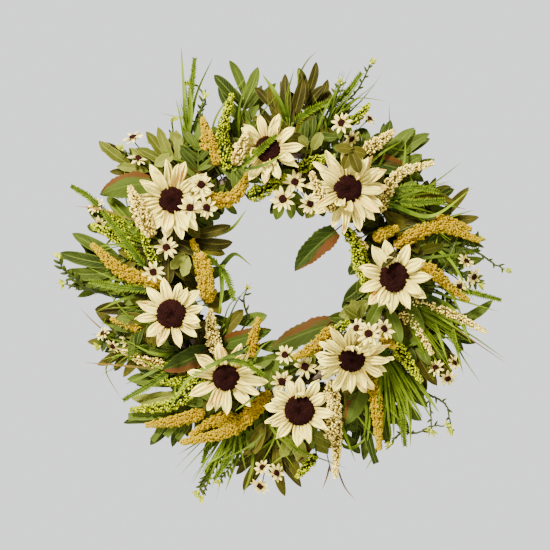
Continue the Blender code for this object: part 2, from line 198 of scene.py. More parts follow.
class Shape:
    """Collects the closed shells of one piece, and what its material reads at each point: how far along and
    across its blade the point is, the blade's own tint, and whether it is on the back."""

    def __init__(self):
        self.points, self.marks, self.quads, self.triangles = [], [], [], []
        self.size = 0

    def add(self, points, faces, along=0.0, across=0.0, tint=0.5, back=0.0):
        points = np.asarray(points, float).reshape(-1, 3)
        count = len(points)
        marks = [np.asarray(mark, float).reshape(-1) for mark in (along, across, tint, back)]
        marks = [np.broadcast_to(mark, count) for mark in marks]
        self.points.append(points)
        self.marks.append(np.stack(marks, -1))
        kept = self.quads if np.shape(faces)[1] == 4 else self.triangles
        kept.append(np.asarray(faces) + self.size)
        self.size += count

    def sheet(self, points, thickness, tint=0.5):
        """A closed thin sheet over a grid of points (rows, columns, 3). The first row is its foot."""
        rows, columns = points.shape[:2]
        normal = np.cross(np.gradient(points, axis=0), np.gradient(points, axis=1))
        normal /= np.maximum(np.linalg.norm(normal, axis=-1, keepdims=True), 1e-9)
        both = np.concatenate([points + normal * thickness / 2, points - normal * thickness / 2])
        along = np.repeat(np.linspace(0, 1, rows), columns)
        across = np.tile(np.linspace(-1, 1, columns), rows)
        back = np.repeat([0.0, 1.0], rows * columns)
        self.add(both, sheet_faces(rows, columns), np.tile(along, 2), np.tile(across, 2), tint, back)

    def tube(self, path, radii, sides=6, tint=0.5, ridges=0.0, depth=None):
        """A tube with closed ends along a path. Its across mark runs round it, and depth, where it is given,
        takes the place of how far along the path a point is."""
        path = np.asarray(path, float)
        radii = np.broadcast_to(radii, len(path))
        _, side, face = transport(path, (0.31, 0.42, 0.85))
        turn = np.linspace(0, TURN, sides, endpoint=False)
        reach = radii[:, None] * (1 + ridges * np.cos(3 * turn))[None]
        rings = path[:, None] + side[:, None] * (np.cos(turn) * reach)[..., None]
        rings = rings + face[:, None] * (np.sin(turn) * reach)[..., None]
        rows = len(path)
        index = np.arange(rows * sides).reshape(rows, sides)
        after = np.roll(index, -1, axis=1)
        walls = np.stack([index[:-1], after[:-1], after[1:], index[1:]], -1).reshape(-1, 4)
        points = np.vstack([rings.reshape(-1, 3), path[:1], path[-1:]])
        foot = np.stack([np.full(sides, rows * sides), after[0], index[0]], -1)
        head = np.stack([np.full(sides, rows * sides + 1), index[-1], after[-1]], -1)
        along = np.append(np.repeat(np.linspace(0, 1, rows), sides), [0, 1])
        along = along if depth is None else depth
        across = np.append(np.tile(np.abs(np.linspace(-1, 1, sides)), rows), [0, 0])
        start = self.size
        self.add(points, walls, along, across, tint)
        self.triangles.append(np.vstack([foot, head]) + start)

    def beads(self, centres, radii, stretch, tints, depth):
        """Small rounded beads, each stretched along its own direction."""
        centres, radii = np.asarray(centres, float), np.asarray(radii, float)
        count, each = len(centres), len(BEAD_POINTS)
        stretch = unit(np.asarray(stretch, float))
        offset = BEAD_POINTS[None] * radii[:, None, None]
        along = np.einsum("bpk,bk->bp", offset, stretch)
        points = centres[:, None] + offset + along[..., None] * stretch[:, None] * 0.35
        faces = (BEAD_FACES[None] + np.arange(count)[:, None, None] * each).reshape(-1, 3)
        self.add(points, faces, np.repeat(depth, each), 0.0, np.repeat(tints, each))

    def spines(self, feet, tips, radius, tint=0.5):
        """Thin three-sided spines from each foot to its tip."""
        feet, tips = np.asarray(feet, float), np.asarray(tips, float)
        count = len(feet)
        along = unit(tips - feet)
        side = unit(np.cross(along, [0.3, 0.5, 0.8]))
        face = np.cross(along, side)
        corners = [feet + (side * math.cos(a) + face * math.sin(a)) * radius for a in (0, 2.094, 4.189)]
        points = np.stack([*corners, tips], 1)
        faces = np.array([(0, 2, 1), (0, 1, 3), (1, 2, 3), (2, 0, 3)])
        faces = (faces[None] + np.arange(count)[:, None, None] * 4).reshape(-1, 3)
        tints = np.repeat(np.broadcast_to(tint, count), 4)
        self.add(points, faces, np.tile([0, 0, 0, 1.0], count), 0.0, tints)

    def piece(self, name, material, slot, replaces=(), body="wreath"):
        """Makes the mesh object, rides it on its body and hides the CAD nodes that it stands for."""
        mesh = bpy.data.meshes.new(name)
        points = np.vstack(self.points) * MM
        quads = np.vstack(self.quads) if self.quads else np.empty((0, 4), int)
        triangles = np.vstack(self.triangles) if self.triangles else np.empty((0, 3), int)
        corners = np.concatenate([quads.reshape(-1), triangles.reshape(-1)])
        sizes = np.concatenate([np.full(len(quads), 4), np.full(len(triangles), 3)])
        mesh.vertices.add(len(points))
        mesh.vertices.foreach_set("co", points.astype(np.float32).reshape(-1))
        mesh.loops.add(len(corners))
        mesh.loops.foreach_set("vertex_index", corners.astype(np.int32))
        mesh.polygons.add(len(sizes))
        mesh.polygons.foreach_set("loop_start", (np.cumsum(sizes) - sizes).astype(np.int32))
        mesh.update(calc_edges=True)
        marks = np.vstack(self.marks).astype(np.float32)
        for i, label in enumerate(("along", "across", "tint", "back")):
            layer = mesh.attributes.new(label, "FLOAT", "POINT")
            layer.data.foreach_set("value", np.ascontiguousarray(marks[:, i]))
        mesh.shade_smooth()
        mesh.set_sharp_from_angle(angle=math.radians(SHARP_EDGE))
        mesh.materials.append(material)
        obj = bpy.data.objects.new(name, mesh)
        bpy.context.scene.collection.objects.link(obj)
        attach(obj, body)
        if replaces:
            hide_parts(*replaces)


def outline(share, swell, point):
    """Half width of a blade along its length, at most 1. A small swell gives it a wide foot, and a large
    point gives it a long thin tip."""
    curve = (share + 0.04) ** swell * (1.0 - share) ** point
    return np.maximum(curve / curve.max(), 0.02)


def blade(shape, course, face, width, rows=12, columns=5, swell=0.6, point=0.8, cup=0.0, fold=0.0, pleat=0.0,
          ruffle=0.0, twist=0.0, teeth=0, bite=0.25, thickness=0.35, tint=0.5, floor=0.0):
    """A petal, leaf or grass blade along a smooth course. width is its half width at its widest, cup and fold
    raise its edges, pleat and ruffle ripple it, and teeth cuts its edges."""
    path = smooth_path(course, rows)
    share = np.linspace(0, 1, rows)
    _, side, up = transport(path, face)
    turn = (twist * share)[:, None]
    side, up = side * np.cos(turn) + up * np.sin(turn), up * np.cos(turn) - side * np.sin(turn)
    half = width * np.maximum(outline(share, swell, point), floor)
    if teeth:
        half = half * (1 - bite * ((share * teeth) % 1.0))
    across = np.linspace(-1, 1, columns)
    lift = half[:, None] * (cup * across**2 + fold * np.abs(across))
    lift = lift + pleat * np.cos(across * math.pi * 2.5) * np.sin(math.pi * share)[:, None]
    lift = lift + ruffle * np.sin(share * 9 + tint * 20)[:, None] * across * np.abs(across)
    aside = side[:, None] * (half[:, None] * across)[..., None]
    points = path[:, None] + aside + up[:, None] * lift[..., None]
    shape.sheet(points, thickness, tint)


# ---------------------------------------------------------------- materials

def set_value(socket, value):
    """Sets a socket's own value, and makes a colour opaque."""
    socket.default_value = (*value, 1.0) if socket.type == "RGBA" else value


def put(tree, kind, inputs=None, output=0, **settings):
    """Adds a shader node, sets its inputs to links or values, and returns one of its outputs."""
    node = tree.nodes.new("ShaderNode" + kind)
    for key, value in settings.items():
        setattr(node, key, value)
    for socket, value in (inputs or {}).items():
        if isinstance(value, bpy.types.NodeSocket):
            tree.links.new(value, node.inputs[socket])
        else:
            set_value(node.inputs[socket], value)
    return node.outputs[output]


def mark(tree, name):
    return put(tree, "Attribute", output="Fac", attribute_name=name)


def calc(tree, operation, *values):
    return put(tree, "Math", dict(enumerate(values)), operation=operation)


def times(tree, one, other):
    return calc(tree, "MULTIPLY", one, other)


def plus(tree, one, other):
    return calc(tree, "ADD", one, other)


def mix(tree, share, one, other, blend="MIX"):
    return put(tree, "MixRGB", {"Fac": share, "Color1": one, "Color2": other}, blend_type=blend)


def between(tree, value, low, high):
    """0 below low, 1 above high, and smooth between them."""
    inputs = {"Value": value, "From Min": low, "From Max": high}
    return put(tree, "MapRange", inputs, interpolation_type="SMOOTHSTEP")


def noise(tree, vector, scale, detail=3.0):
    return put(tree, "TexNoise", {"Vector": vector, "Scale": scale, "Detail": detail})


def grain(tree, scale, detail=3.0):
    """Noise that stands still on the piece."""
    return noise(tree, position(tree), scale, detail)


def vector_of(tree, x, y, z):
    return put(tree, "CombineXYZ", {"X": x, "Y": y, "Z": z})


def position(tree):
    return put(tree, "TexCoord", output="Object")


def new_material(name, roughness, **fixed):
    """A material with one Principled shader. fixed holds sockets that are the same all over the surface."""
    made = bpy.data.materials.new(name)
    made.use_nodes = True
    shader = made.node_tree.nodes["Principled BSDF"]
    shader.inputs["Roughness"].default_value = roughness
    for socket, value in fixed.items():
        set_value(shader.inputs[socket.replace("_", " ")], value)
    return made, made.node_tree, shader


def finish_material(tree, shader, colour, height, depth, roughness=None):
    """Links the colour and the bump. depth is the bump's height in metres."""
    tree.links.new(colour, shader.inputs["Base Color"])
    bump = put(tree, "Bump", {"Height": height, "Distance": depth, "Strength": 1.0})
    tree.links.new(bump, shader.inputs["Normal"])
    if roughness is not None:
        tree.links.new(roughness, shader.inputs["Roughness"])


def weave(tree):
    """Threads of a fine cloth, about three in two millimetres each way."""
    warp, weft = (put(tree, "SeparateXYZ", {"Vector": position(tree)}, output=way) for way in "XZ")
    warp, weft = (calc(tree, "SINE", times(tree, way, THREAD_WAVE)) for way in (warp, weft))
    return times(tree, warp, weft)


def petal_material(name, pale, deep, stain, stain_share):
    """Printed cloth: streaks along the petal, a deeper foot, painted shade along the vein creases, and a blush on
    some petals.
    """
    made, tree, shader = new_material(
        name, 0.80, Subsurface_Weight=0.06, Subsurface_Scale=0.002, Specular_IOR_Level=0.04)
    along, across, tint = (mark(tree, m) for m in ("along", "across", "tint"))
    shift = times(tree, tint, 37.0)
    streak_at = vector_of(tree, plus(tree, times(tree, across, 5.0), shift),
                          times(tree, along, 1.3), shift)
    streak = noise(tree, streak_at, 1.6, 4.0)
    vein_at = vector_of(tree, times(tree, across, 16.0), along, shift)
    vein = noise(tree, vein_at, 1.2, 2.0)
    colour = mix(tree, between(tree, along, 0.05, 0.78), deep, pale)
    colour = mix(tree, between(tree, streak, 0.46, 0.66), colour, tuple(c * 0.52 for c in pale))
    # painted shade: the colour is darkened along the vein lines, standing in for shade in the petal's creases
    crease_shade = times(tree, between(tree, vein, 0.48, 0.60), 0.80)
    colour = mix(tree, crease_shade, colour, (0.17, 0.125, 0.015))
    greened = times(tree, between(tree, noise(tree, streak_at, 0.7), 0.5, 0.75), 0.30)
    colour = mix(tree, greened, colour, (0.45, 0.40, 0.08))
    patch_at = vector_of(tree, across, times(tree, along, 2.0), shift)
    patch = between(tree, noise(tree, patch_at, 1.1), 0.47, 0.66)
    chosen = between(tree, tint, 1.0 - stain_share, 1.04 - stain_share)
    colour = mix(tree, times(tree, times(tree, patch, chosen), 0.75), colour, stain)
    edge = between(tree, calc(tree, "ABSOLUTE", across), 0.86, 1.0)
    colour = mix(tree, times(tree, edge, 0.25), colour, (0.42, 0.26, 0.07))
    height = plus(tree, times(tree, vein, 0.9), times(tree, weave(tree), 0.10))
    finish_material(tree, shader, colour, height, 0.0006)
    return made


def leaf_material(name, dark, light, rim, blush=None, ribs=11.0):
    """Printed cloth leaf: pale midrib and side veins, pale edge, lighter back, and maybe a red blush."""
    made, tree, shader = new_material(name, 0.62, Specular_IOR_Level=0.03)
    along, across, tint, back = (mark(tree, m) for m in ("along", "across", "tint", "back"))
    off = calc(tree, "ABSOLUTE", across)
    shift = times(tree, tint, 23.0)
    blotch = noise(tree, vector_of(tree, across, times(tree, along, 3.0), shift), 1.4, 4.0)
    lively = plus(tree, times(tree, tint, 0.55), times(tree, blotch, 0.55))
    colour = mix(tree, between(tree, lively, 0.25, 0.85), dark, light)
    side = calc(tree, "SUBTRACT", times(tree, along, ribs), times(tree, off, 1.9))
    wave = calc(tree, "SINE", times(tree, side, TURN))
    veins = between(tree, wave, 0.72, 1.0)
    midrib = calc(tree, "SUBTRACT", 1.0, between(tree, off, 0.03, 0.13))
    both = calc(tree, "MAXIMUM", times(tree, veins, 0.35), midrib)
    colour = mix(tree, times(tree, both, 0.55), colour, rim)
    colour = mix(tree, times(tree, between(tree, off, 0.80, 1.0), 0.5), colour, rim)
    colour = mix(tree, times(tree, back, 0.35), colour, rim)
    if blush:
        cloud = noise(tree, vector_of(tree, across, along, shift), 1.7)
        where = plus(tree, times(tree, across, 0.42), cloud)
        colour = mix(tree, times(tree, between(tree, where, 0.58, 0.84), 0.85), colour, blush)
    height = plus(tree, times(tree, both, -0.8), times(tree, weave(tree), 0.10))
    finish_material(tree, shader, colour, height, 0.0005)
    return made


def blade_material(name, foot, tip, roughness=0.42):
    """Moulded plastic grass: fine ridges along it, and a colour that changes from foot to tip."""
    made, tree, shader = new_material(name, roughness, Specular_IOR_Level=0.06)
    along, across, tint = (mark(tree, m) for m in ("along", "across", "tint"))
    mottle = grain(tree, 90.0, 3.0)
    place_on = plus(tree, along, times(tree, calc(tree, "SUBTRACT", mottle, 0.5), 0.6))
    colour = mix(tree, between(tree, place_on, 0.0, 0.9), foot, tip)
    shade = plus(tree, 0.62, times(tree, tint, 0.7))
    colour = mix(tree, 1.0, colour, put(tree, "CombineColor", {0: shade, 1: shade, 2: shade}), "MULTIPLY")
    ridges = calc(tree, "SINE", times(tree, across, 14.0))
    finish_material(tree, shader, colour, ridges, 0.00015)
    return made


def bead_material(name, deep, middle, bright):
    """Moulded foam beads, each a little different. Beads near the spike's core take the deep colour: painted shade
    in the gaps where it is darker, painted light where it is lighter, as for yellow.
    """
    made, tree, shader = new_material(name, 0.7, Specular_IOR_Level=0.03)
    depth, tint = mark(tree, "along"), mark(tree, "tint")
    mottle = grain(tree, 500.0, 2.0)
    level = plus(tree, times(tree, tint, 0.5), times(tree, mottle, 0.5))
    colour = mix(tree, between(tree, level, 0.25, 0.8), middle, bright)
    # painted light and shade: towards the core the colour turns to deep, which darkens the gaps of lime and ivory
    # beads and lightens those of yellow ones
    colour = mix(tree, between(tree, depth, 0.45, 0.9), deep, colour)
    finish_material(tree, shader, colour, grain(tree, 1500.0, 3.0), 0.0003)
    return made


def seed_material():
    """Dark flock."""
    made, tree, shader = new_material("flock_brown", 0.95, Sheen_Weight=0.02, Sheen_Roughness=0.5,
                                      Sheen_Tint=(0.45, 0.12, 0.08), Specular_IOR_Level=0.04)
    fine = grain(tree, 700.0, 4.0)
    broad = grain(tree, 120.0, 3.0)
    colour = mix(tree, between(tree, fine, 0.35, 0.75), (0.0030, 0.0005, 0.0002), (0.0120, 0.0020, 0.0008))
    worn = times(tree, between(tree, broad, 0.5, 0.8), 0.5)
    colour = mix(tree, worn, colour, (0.0170, 0.0032, 0.0012))
    finish_material(tree, shader, colour, fine, 0.0008)
    return made


def bark_material():
    """Dry vine: long fibres, cracks and paler worn ridges."""
    made, tree, shader = new_material("vine_bark", 0.86)
    along, across, tint = (mark(tree, m) for m in ("along", "across", "tint"))
    fibre_at = vector_of(tree, times(tree, along, 60.0), times(tree, across, 9.0),
                         times(tree, tint, 19.0))
    fibre = noise(tree, fibre_at, 1.6, 6.0)
    patch = grain(tree, 40.0, 4.0)
    colour = mix(tree, between(tree, fibre, 0.35, 0.68), (0.016, 0.009, 0.004), (0.095, 0.058, 0.028))
    colour = mix(tree, between(tree, patch, 0.5, 0.8), colour, (0.070, 0.046, 0.026))
    finish_material(tree, shader, colour, fibre, 0.0016, roughness=between(tree, fibre, -0.6, 0.4))
    return made


def wire_material():
    """Green paint on wire, rubbed thin in places."""
    made, tree, shader = new_material("painted_wire", 0.42, Metallic=0.35)
    rubbed = between(tree, grain(tree, 260.0, 4.0), 0.55, 0.72)
    colour = mix(tree, rubbed, (0.030, 0.060, 0.025), (0.16, 0.15, 0.11))
    finish_material(tree, shader, colour, grain(tree, 900.0), 0.0002,
                    roughness=calc(tree, "SUBTRACT", 0.5, times(tree, rubbed, 0.2)))
    return made


CREAM = petal_material("cream_cloth", (0.74, 0.61, 0.125), (0.25, 0.17, 0.012), (0.39, 0.175, 0.018), 0.28)
DAISY = petal_material("daisy_cloth", (0.66, 0.55, 0.14), (0.26, 0.18, 0.02), (0.40, 0.20, 0.03), 0.16)
FLOCK = seed_material()
GREEN = leaf_material("green_leaf_cloth", (0.0052, 0.0088, 0.0003), (0.034, 0.047, 0.0040),
                      (0.070, 0.083, 0.011))
OLIVE = leaf_material("olive_leaf_cloth", (0.0066, 0.0052, 0.0001), (0.033, 0.028, 0.0018),
                      (0.064, 0.057, 0.0070))
LIGHT = leaf_material("light_leaf_cloth", (0.024, 0.026, 0.0015), (0.076, 0.080, 0.0090), (0.12, 0.12, 0.020))
# near-black leaf cloth: painted shade, for the leaves under the flowers where the wreath lies in deep shadow
SHADE_LEAF = leaf_material("painted_shade_leaf_cloth", (0.0024, 0.0026, 0.0), (0.013, 0.013, 0.0), (0.026, 0.025, 0.001))
BLUSHED = leaf_material("blushed_leaf_cloth", (0.0040, 0.0075, 0.0004), (0.017, 0.026, 0.0015),
                        (0.036, 0.046, 0.005), blush=(0.040, 0.0115, 0.0016), ribs=7.0)
GRASS = blade_material("grass_plastic", (0.0075, 0.0155, 0.0002), (0.080, 0.112, 0.003))
STRAW = blade_material("straw_grass", (0.045, 0.036, 0.003), (0.13, 0.065, 0.011), 0.6)
TWIG = blade_material("twig_plastic", (0.0080, 0.0112, 0.0004), (0.0230, 0.0310, 0.0012))
STEM = blade_material("stem_plastic", (0.014, 0.020, 0.001), (0.036, 0.046, 0.003))
BUD = blade_material("bud_plastic", (0.06, 0.08, 0.002), (0.24, 0.25, 0.010))
# The first colour of each foam fills the gaps round the spike's core: painted shade for lime and ivory, painted
# light for yellow, which is lighter and more orange than its beads.
YELLOW = bead_material("yellow_foam", (0.250, 0.126, 0.0), (0.155, 0.098, 0.0), (0.198, 0.136, 0.0))
LIME = bead_material("lime_foam", (0.003, 0.005, 0.0), (0.060, 0.070, 0.0), (0.31, 0.33, 0.001))
IVORY = bead_material("ivory_foam", (0.050, 0.031, 0.002), (0.32, 0.215, 0.028), (0.66, 0.525, 0.115))
BARK = bark_material()
WIRE = wire_material()


# ---------------------------------------------------------------- vines, ties and hanger

# radius of a CAD vine and of its bark, steps round the ring and round the vine, and knots on each vine
CAD_VINE_RADIUS, VINE_RADIUS, VINE_STEPS, VINE_SIDES, KNOTS = 7.2, 7.6, 360, 14, 9
# tendrils that climb each vine, their radius, and how far they may stand out of the bundle
TENDRILS, TENDRIL_RADIUS, TENDRIL_LIFT = 5, 0.9, 0.6
# radius of a tie and of its two ends, how far the ends wind round each other, and their length
TIE_WIRE, TIE_END_WIRE, TIE_WIND, TIE_END = 0.9, 0.8, 0.9, 9
# radius of the CAD hanger's wire, of each twisted strand and of the eye, and where the neck leaves the wrap
CAD_HANGER_WIRE, HANGER_STRAND, EYE_WIRE, NECK_LEAN = 1.2, 1.0, 1.1, 60


def rough_vine(shape, course, radius, sides, random, tint):
    """A closed loop of vine with bark ridges, knots and small bends."""
    rows = len(course)
    closed = np.vstack([course[-1], course, course[0]])
    tangents = unit(closed[2:] - closed[:-2])
    out = unit(course - CENTRE - FORWARD * BUNDLE_FORWARD)
    side = unit(np.cross(tangents, out))
    face = np.cross(side, tangents)
    turn = np.linspace(0, TURN, sides, endpoint=False)
    step = np.linspace(0, TURN, rows, endpoint=False)
    swell = np.zeros(rows)
    for centre in random.uniform(0, TURN, KNOTS):
        gap = (step - centre + math.pi) % TURN - math.pi
        swell += random.uniform(0.08, 0.16) * np.exp(-((gap / 0.035) ** 2))
    ridge = 0.05 * np.sin(5 * turn[None] + 6 * np.sin(step * 3)[:, None])
    ridge = ridge + 0.03 * np.sin(9 * turn[None] - 7 * step[:, None])
    rough = random.normal(0, 0.018, (rows, sides))
    reach = radius * (0.90 + swell[:, None] + ridge + rough)
    points = course[:, None] + face[:, None] * (np.cos(turn) * reach)[..., None]
    points = points + side[:, None] * (np.sin(turn) * reach)[..., None]
    index = np.arange(rows * sides).reshape(rows, sides)
    next_row, next_side = np.roll(index, -1, axis=0), np.roll(index, -1, axis=1)
    faces = np.stack([index, next_row, np.roll(next_row, -1, axis=1), next_side], -1).reshape(-1, 4)
    along = np.repeat(np.abs(np.linspace(-1, 1, rows)), sides)
    across = np.tile(np.abs(np.linspace(-1, 1, sides)), rows)
    shape.add(points, faces, along, across, tint)


def make_vines():
    for node in VINES:
        random = random_for(node)
        low, high = node_box(node)
        ring = (high[0] - low[0]) / 2 - CAD_VINE_RADIUS
        forward = -(low[1] + high[1]) / 2
        step = np.linspace(0, 360, VINE_STEPS, endpoint=False)
        bend = 0.5 * np.sin(np.radians(step * 7 + random.uniform(0, 360)))
        course = np.array([on_ring(a, ring + b, forward) for a, b in zip(step, bend)])
        shape = Shape()
        rough_vine(shape, course, VINE_RADIUS, VINE_SIDES, random, random.uniform(0.2, 0.9))
        for _ in range(TENDRILS):
            start = random.uniform(0, 360)
            sweep = np.linspace(0, random.uniform(60, 130), 40)
            wind = np.radians(sweep * 7 + random.uniform(0, 360))
            reach = VINE_RADIUS + TENDRIL_RADIUS
            path = np.array([on_ring(start + s, ring + reach * math.cos(w), forward + reach * math.sin(w))
                             for s, w in zip(sweep, wind)])
            path = path[from_bundle(path) < BUNDLE_RADIUS + TENDRIL_LIFT]
            if len(path) > 6:
                shape.tube(path, TENDRIL_RADIUS, 5, random.uniform(0, 1), ridges=0.1)
        shape.piece(node + "_bark", BARK, "vine", [node])


def make_ties():
    for node in nodes_like("wire_tie"):
        points = node_points(node)
        middle = points.mean(0)
        spread = np.linalg.svd(points - middle)[2]
        reach = np.linalg.norm(points - middle, axis=1)
        radius = (reach.min() + reach.max()) / 2
        shape = Shape()
        turns = np.linspace(0, 2 * TURN, 90)
        drift = spread[2] * 1.05
        coil = middle + (np.outer(np.cos(turns), spread[0]) + np.outer(np.sin(turns), spread[1])) * radius
        coil += np.outer(np.linspace(-1, 1, 90), drift)
        shape.tube(coil, TIE_WIRE, 8)
        end = middle + spread[0] * (radius + 0.4)
        for strand in (0, math.pi):
            twist = np.linspace(0, 3.5 * math.pi, 30)
            path = end + np.outer(np.linspace(0, TIE_END, 30), unit(spread[1] * 0.9 + spread[0] * 0.25))
            wind = np.outer(np.cos(twist + strand), spread[2]) * TIE_WIND
            path += wind + np.outer(np.sin(twist + strand), spread[0]) * TIE_WIND
            shape.tube(path, TIE_END_WIRE, 6)
        shape.piece(node + "_twist", WIRE, "wire", [node])


def make_hanger():
    """Two turns of wire round the bundle, a neck where its two ends twist together, and the eye."""
    node = "wire_hanger"
    low, high = node_box(node)
    axle = np.array(frame["joints"][0]["pos_m"]) / MM
    eye_radius = (high[0] - low[0]) / 2 - CAD_HANGER_WIRE
    wrap_radius = (axle[1] - low[1]) - CAD_HANGER_WIRE
    eye = np.array([0, 0, high[2] - CAD_HANGER_WIRE - eye_radius])
    shape = Shape()
    lean = math.radians(NECK_LEAN)
    top = axle + wrap_radius * np.array([0, math.cos(lean), math.sin(lean)])
    sweep = np.linspace(0.06, 4 * math.pi - 0.06, 120)
    coil = axle + wrap_radius * np.stack([0 * sweep, np.cos(lean + sweep), np.sin(lean + sweep)], -1)
    coil[:, 0] = np.linspace(-1.1, 1.1, 120)
    shape.tube(coil, HANGER_STRAND, 8)
    bottom = eye - UP * eye_radius
    for strand in (0, math.pi):
        twist = np.linspace(0, 4 * math.pi, 40) + strand
        path = top + np.outer(np.linspace(0.0, 1.0, 40), bottom - top)
        aside = unit(np.cross(bottom - top, [1.0, 0, 0]))
        path += np.outer(np.cos(twist), [1.0, 0, 0]) + np.outer(np.sin(twist), aside)
        shape.tube(path, HANGER_STRAND, 8)
    ring = np.linspace(-math.pi / 2 + 0.02, 1.5 * math.pi - 0.02, 60)
    loop = eye + eye_radius * np.stack([np.cos(ring), 0 * ring, np.sin(ring)], -1)
    shape.tube(loop, EYE_WIRE, 8)
    shape.piece("hanger_twist", WIRE, "wire", [node], body="hanger")


# ---------------------------------------------------------------- flower heads

def facing(middle, axis):
    """A head: its middle, its axis towards the viewer, and the directions across it, sideways and up."""
    upward = unit(UP - axis * (UP @ axis))
    return middle, axis, np.cross(upward, axis), upward


def moved(head, distance):
    """A head moved along its axis."""
    return (head[0] + head[1] * distance, *head[1:])


def head_of(node):
    """The head that a flat CAD flower part stands for, with its middle on the back, and its reach."""
    points = node_points(node)
    axis = np.linalg.svd(points - points.mean(0), full_matrices=False)[2][2]
    axis = axis * np.sign(-axis[1])
    middle = points.mean(0)
    height = (points - middle) @ axis
    middle = middle + axis * height.min()
    flat = points - middle
    reach = np.linalg.norm(flat - np.outer(flat @ axis, axis), axis=1).max()
    return facing(middle, axis), reach


def petal_ring(shape, head, random, count, start, length, width, rise, spread=0.16, curled=0, **look):
    """A ring of petals round a head. rise is how far forward their tips reach, as a share of their length,
    and curled is how many of them fold back over the head."""
    middle, axis, sideways, upward = head
    first = random.uniform(0, TURN)
    for number in range(count):
        turn = first + TURN * (number + random.uniform(-spread, spread)) / count
        out = sideways * math.cos(turn) + upward * math.sin(turn)
        along = np.cross(axis, out)
        long = length * random.uniform(0.86, 1.04)
        lift = long * (rise + random.uniform(-0.13, 0.13))
        sway = long * random.uniform(-0.10, 0.10)
        bow = random.uniform(-0.05, 0.10) * long
        foot = middle + out * start
        course = [
            foot,
            foot + out * long * 0.35 + axis * (lift * 0.30 + bow) + along * sway * 0.2,
            foot + out * long * 0.72 + axis * (lift * 0.70 + bow) + along * sway * 0.6,
            foot + out * long + axis * lift + along * sway,
        ]
        if number < curled:
            course[1] = foot + out * long * 0.30 + axis * long * 0.26
            course[2] = foot + out * long * 0.44 + axis * long * 0.42 + along * sway
            course[3] = foot + out * long * 0.34 + axis * long * 0.60 + along * sway * 2
        face = axis + along * random.uniform(-0.25, 0.25)
        blade(shape, course, face, width * random.uniform(0.86, 1.10), tint=random.uniform(0, 1),
              twist=random.uniform(-0.35, 0.35), cup=random.uniform(-0.05, 0.28), **look)


def flock_dome(shape, head, radius, random, rows=34, columns=84, bristles=900, height=0.34):
    """A low dome of flock: an uneven close-grained surface with short bristles."""
    middle, axis, sideways, upward = head
    ring = np.linspace(0, 1, rows)
    turn = np.linspace(0, TURN, columns, endpoint=False)
    bulge = height * np.sqrt(np.maximum(1 - ring**2.6, 0)) * (1 - 0.30 * np.exp(-((ring / 0.35) ** 2)))
    rough = random.normal(0, 0.022, (rows, columns))
    rough[0] = rough[0, 0]
    reach = ring[:, None] * (1 + random.normal(0, 0.016, (rows, columns)) * ring[:, None])
    out = np.outer(np.cos(turn), sideways) + np.outer(np.sin(turn), upward)
    points = middle + radius * (reach[..., None] * out[None] + (bulge[:, None] + rough)[..., None] * axis)
    top = points[0, 0]
    wall = points[1:]
    rows -= 1
    index = np.arange(rows * columns).reshape(rows, columns)
    after = np.roll(index, -1, axis=1)
    quads = np.stack([index[:-1], index[1:], after[1:], after[:-1]], -1).reshape(-1, 4)
    back = middle - axis * 0.2
    everything = np.vstack([wall.reshape(-1, 3), top, back])
    last = rows * columns
    caps = np.vstack([np.stack([np.full(columns, last), index[0], after[0]], -1),
                      np.stack([np.full(columns, last + 1), after[-1], index[-1]], -1)])
    start = shape.size
    shape.add(everything, quads, 0.5, 0.0, 0.5)
    shape.triangles.append(caps + start)
    share = np.sqrt(random.uniform(0.0, 1.04, bristles))
    angle = random.uniform(0, TURN, bristles)
    level = np.interp(np.minimum(share, 1), ring, bulge)
    outward = np.outer(np.cos(angle), sideways) + np.outer(np.sin(angle), upward)
    feet = middle + radius * (outward * np.minimum(share, 1.0)[:, None] + (level - 0.02)[:, None] * axis)
    lean = outward * (share**2)[:, None] * 0.9 + axis * (1.15 - share)[:, None]
    lean = lean + random.normal(0, 0.25, (bristles, 3))
    tips = feet + unit(lean) * (radius * random.uniform(0.05, 0.10, bristles))[:, None]
    shape.spines(feet, tips, radius * 0.018)


def sepals(shape, head, random, count, length, width):
    """Green bracts behind a head."""
    middle, axis, sideways, upward = head
    for number in range(count):
        turn = TURN * (number + random.uniform(-0.15, 0.15)) / count
        out = sideways * math.cos(turn) + upward * math.sin(turn)
        long = length * random.uniform(0.8, 1.1)
        foot = middle - axis * 5 + out * length * 0.16
        tip = foot + out * long * 0.85 + axis * random.uniform(2.0, 4.0)
        course = [foot, foot + out * long * 0.4 + axis * 3.2, tip]
        blade(shape, course, axis, width, rows=8, fold=0.2, tint=random.uniform(0, 1), point=1.0)


PETAL = {"rows": 16, "columns": 9, "swell": 0.92, "point": 0.98, "pleat": 1.5, "ruffle": 2.4}
DAISY_PETAL = {"rows": 9, "columns": 5, "swell": 0.62, "point": 0.80, "fold": 0.14, "pleat": 0.2,
               "thickness": 0.3}
DAISY_START = 2.2
# distance along the axis and radius of the rings of a turned calyx
SUNFLOWER_CALYX = ((-9, 2.4), (-7.5, 5.0), (-5.5, 8.5), (-3.2, 11.5), (-1.6, 12.6), (-0.6, 12.0))
DAISY_CALYX = ((-7.5, 1.0), (-5.0, 1.7), (-2.8, 3.3), (-1.0, 4.4), (-0.4, 4.0))
# petals in the back and front ring, their half width as a share of the reach, and how far the tips come
# forward as a share of the petal's length
SUNFLOWER_LOOKS = {
    1: (11, 5, 0.150, 0.20),
    2: (15, 12, 0.125, 0.08),
    3: (11, 5, 0.165, 0.16),
    4: (15, 11, 0.130, 0.12),
    5: (12, 6, 0.155, 0.18),
    6: (10, 4, 0.135, 0.16),
    7: (12, 4, 0.150, 0.18),
    8: (13, 10, 0.145, 0.22),
}


def calyx(shape, head, profile, sides, tint):
    along, radii = np.transpose(profile)
    shape.tube(head[0] + np.outer(along, head[1]), radii, sides, tint)


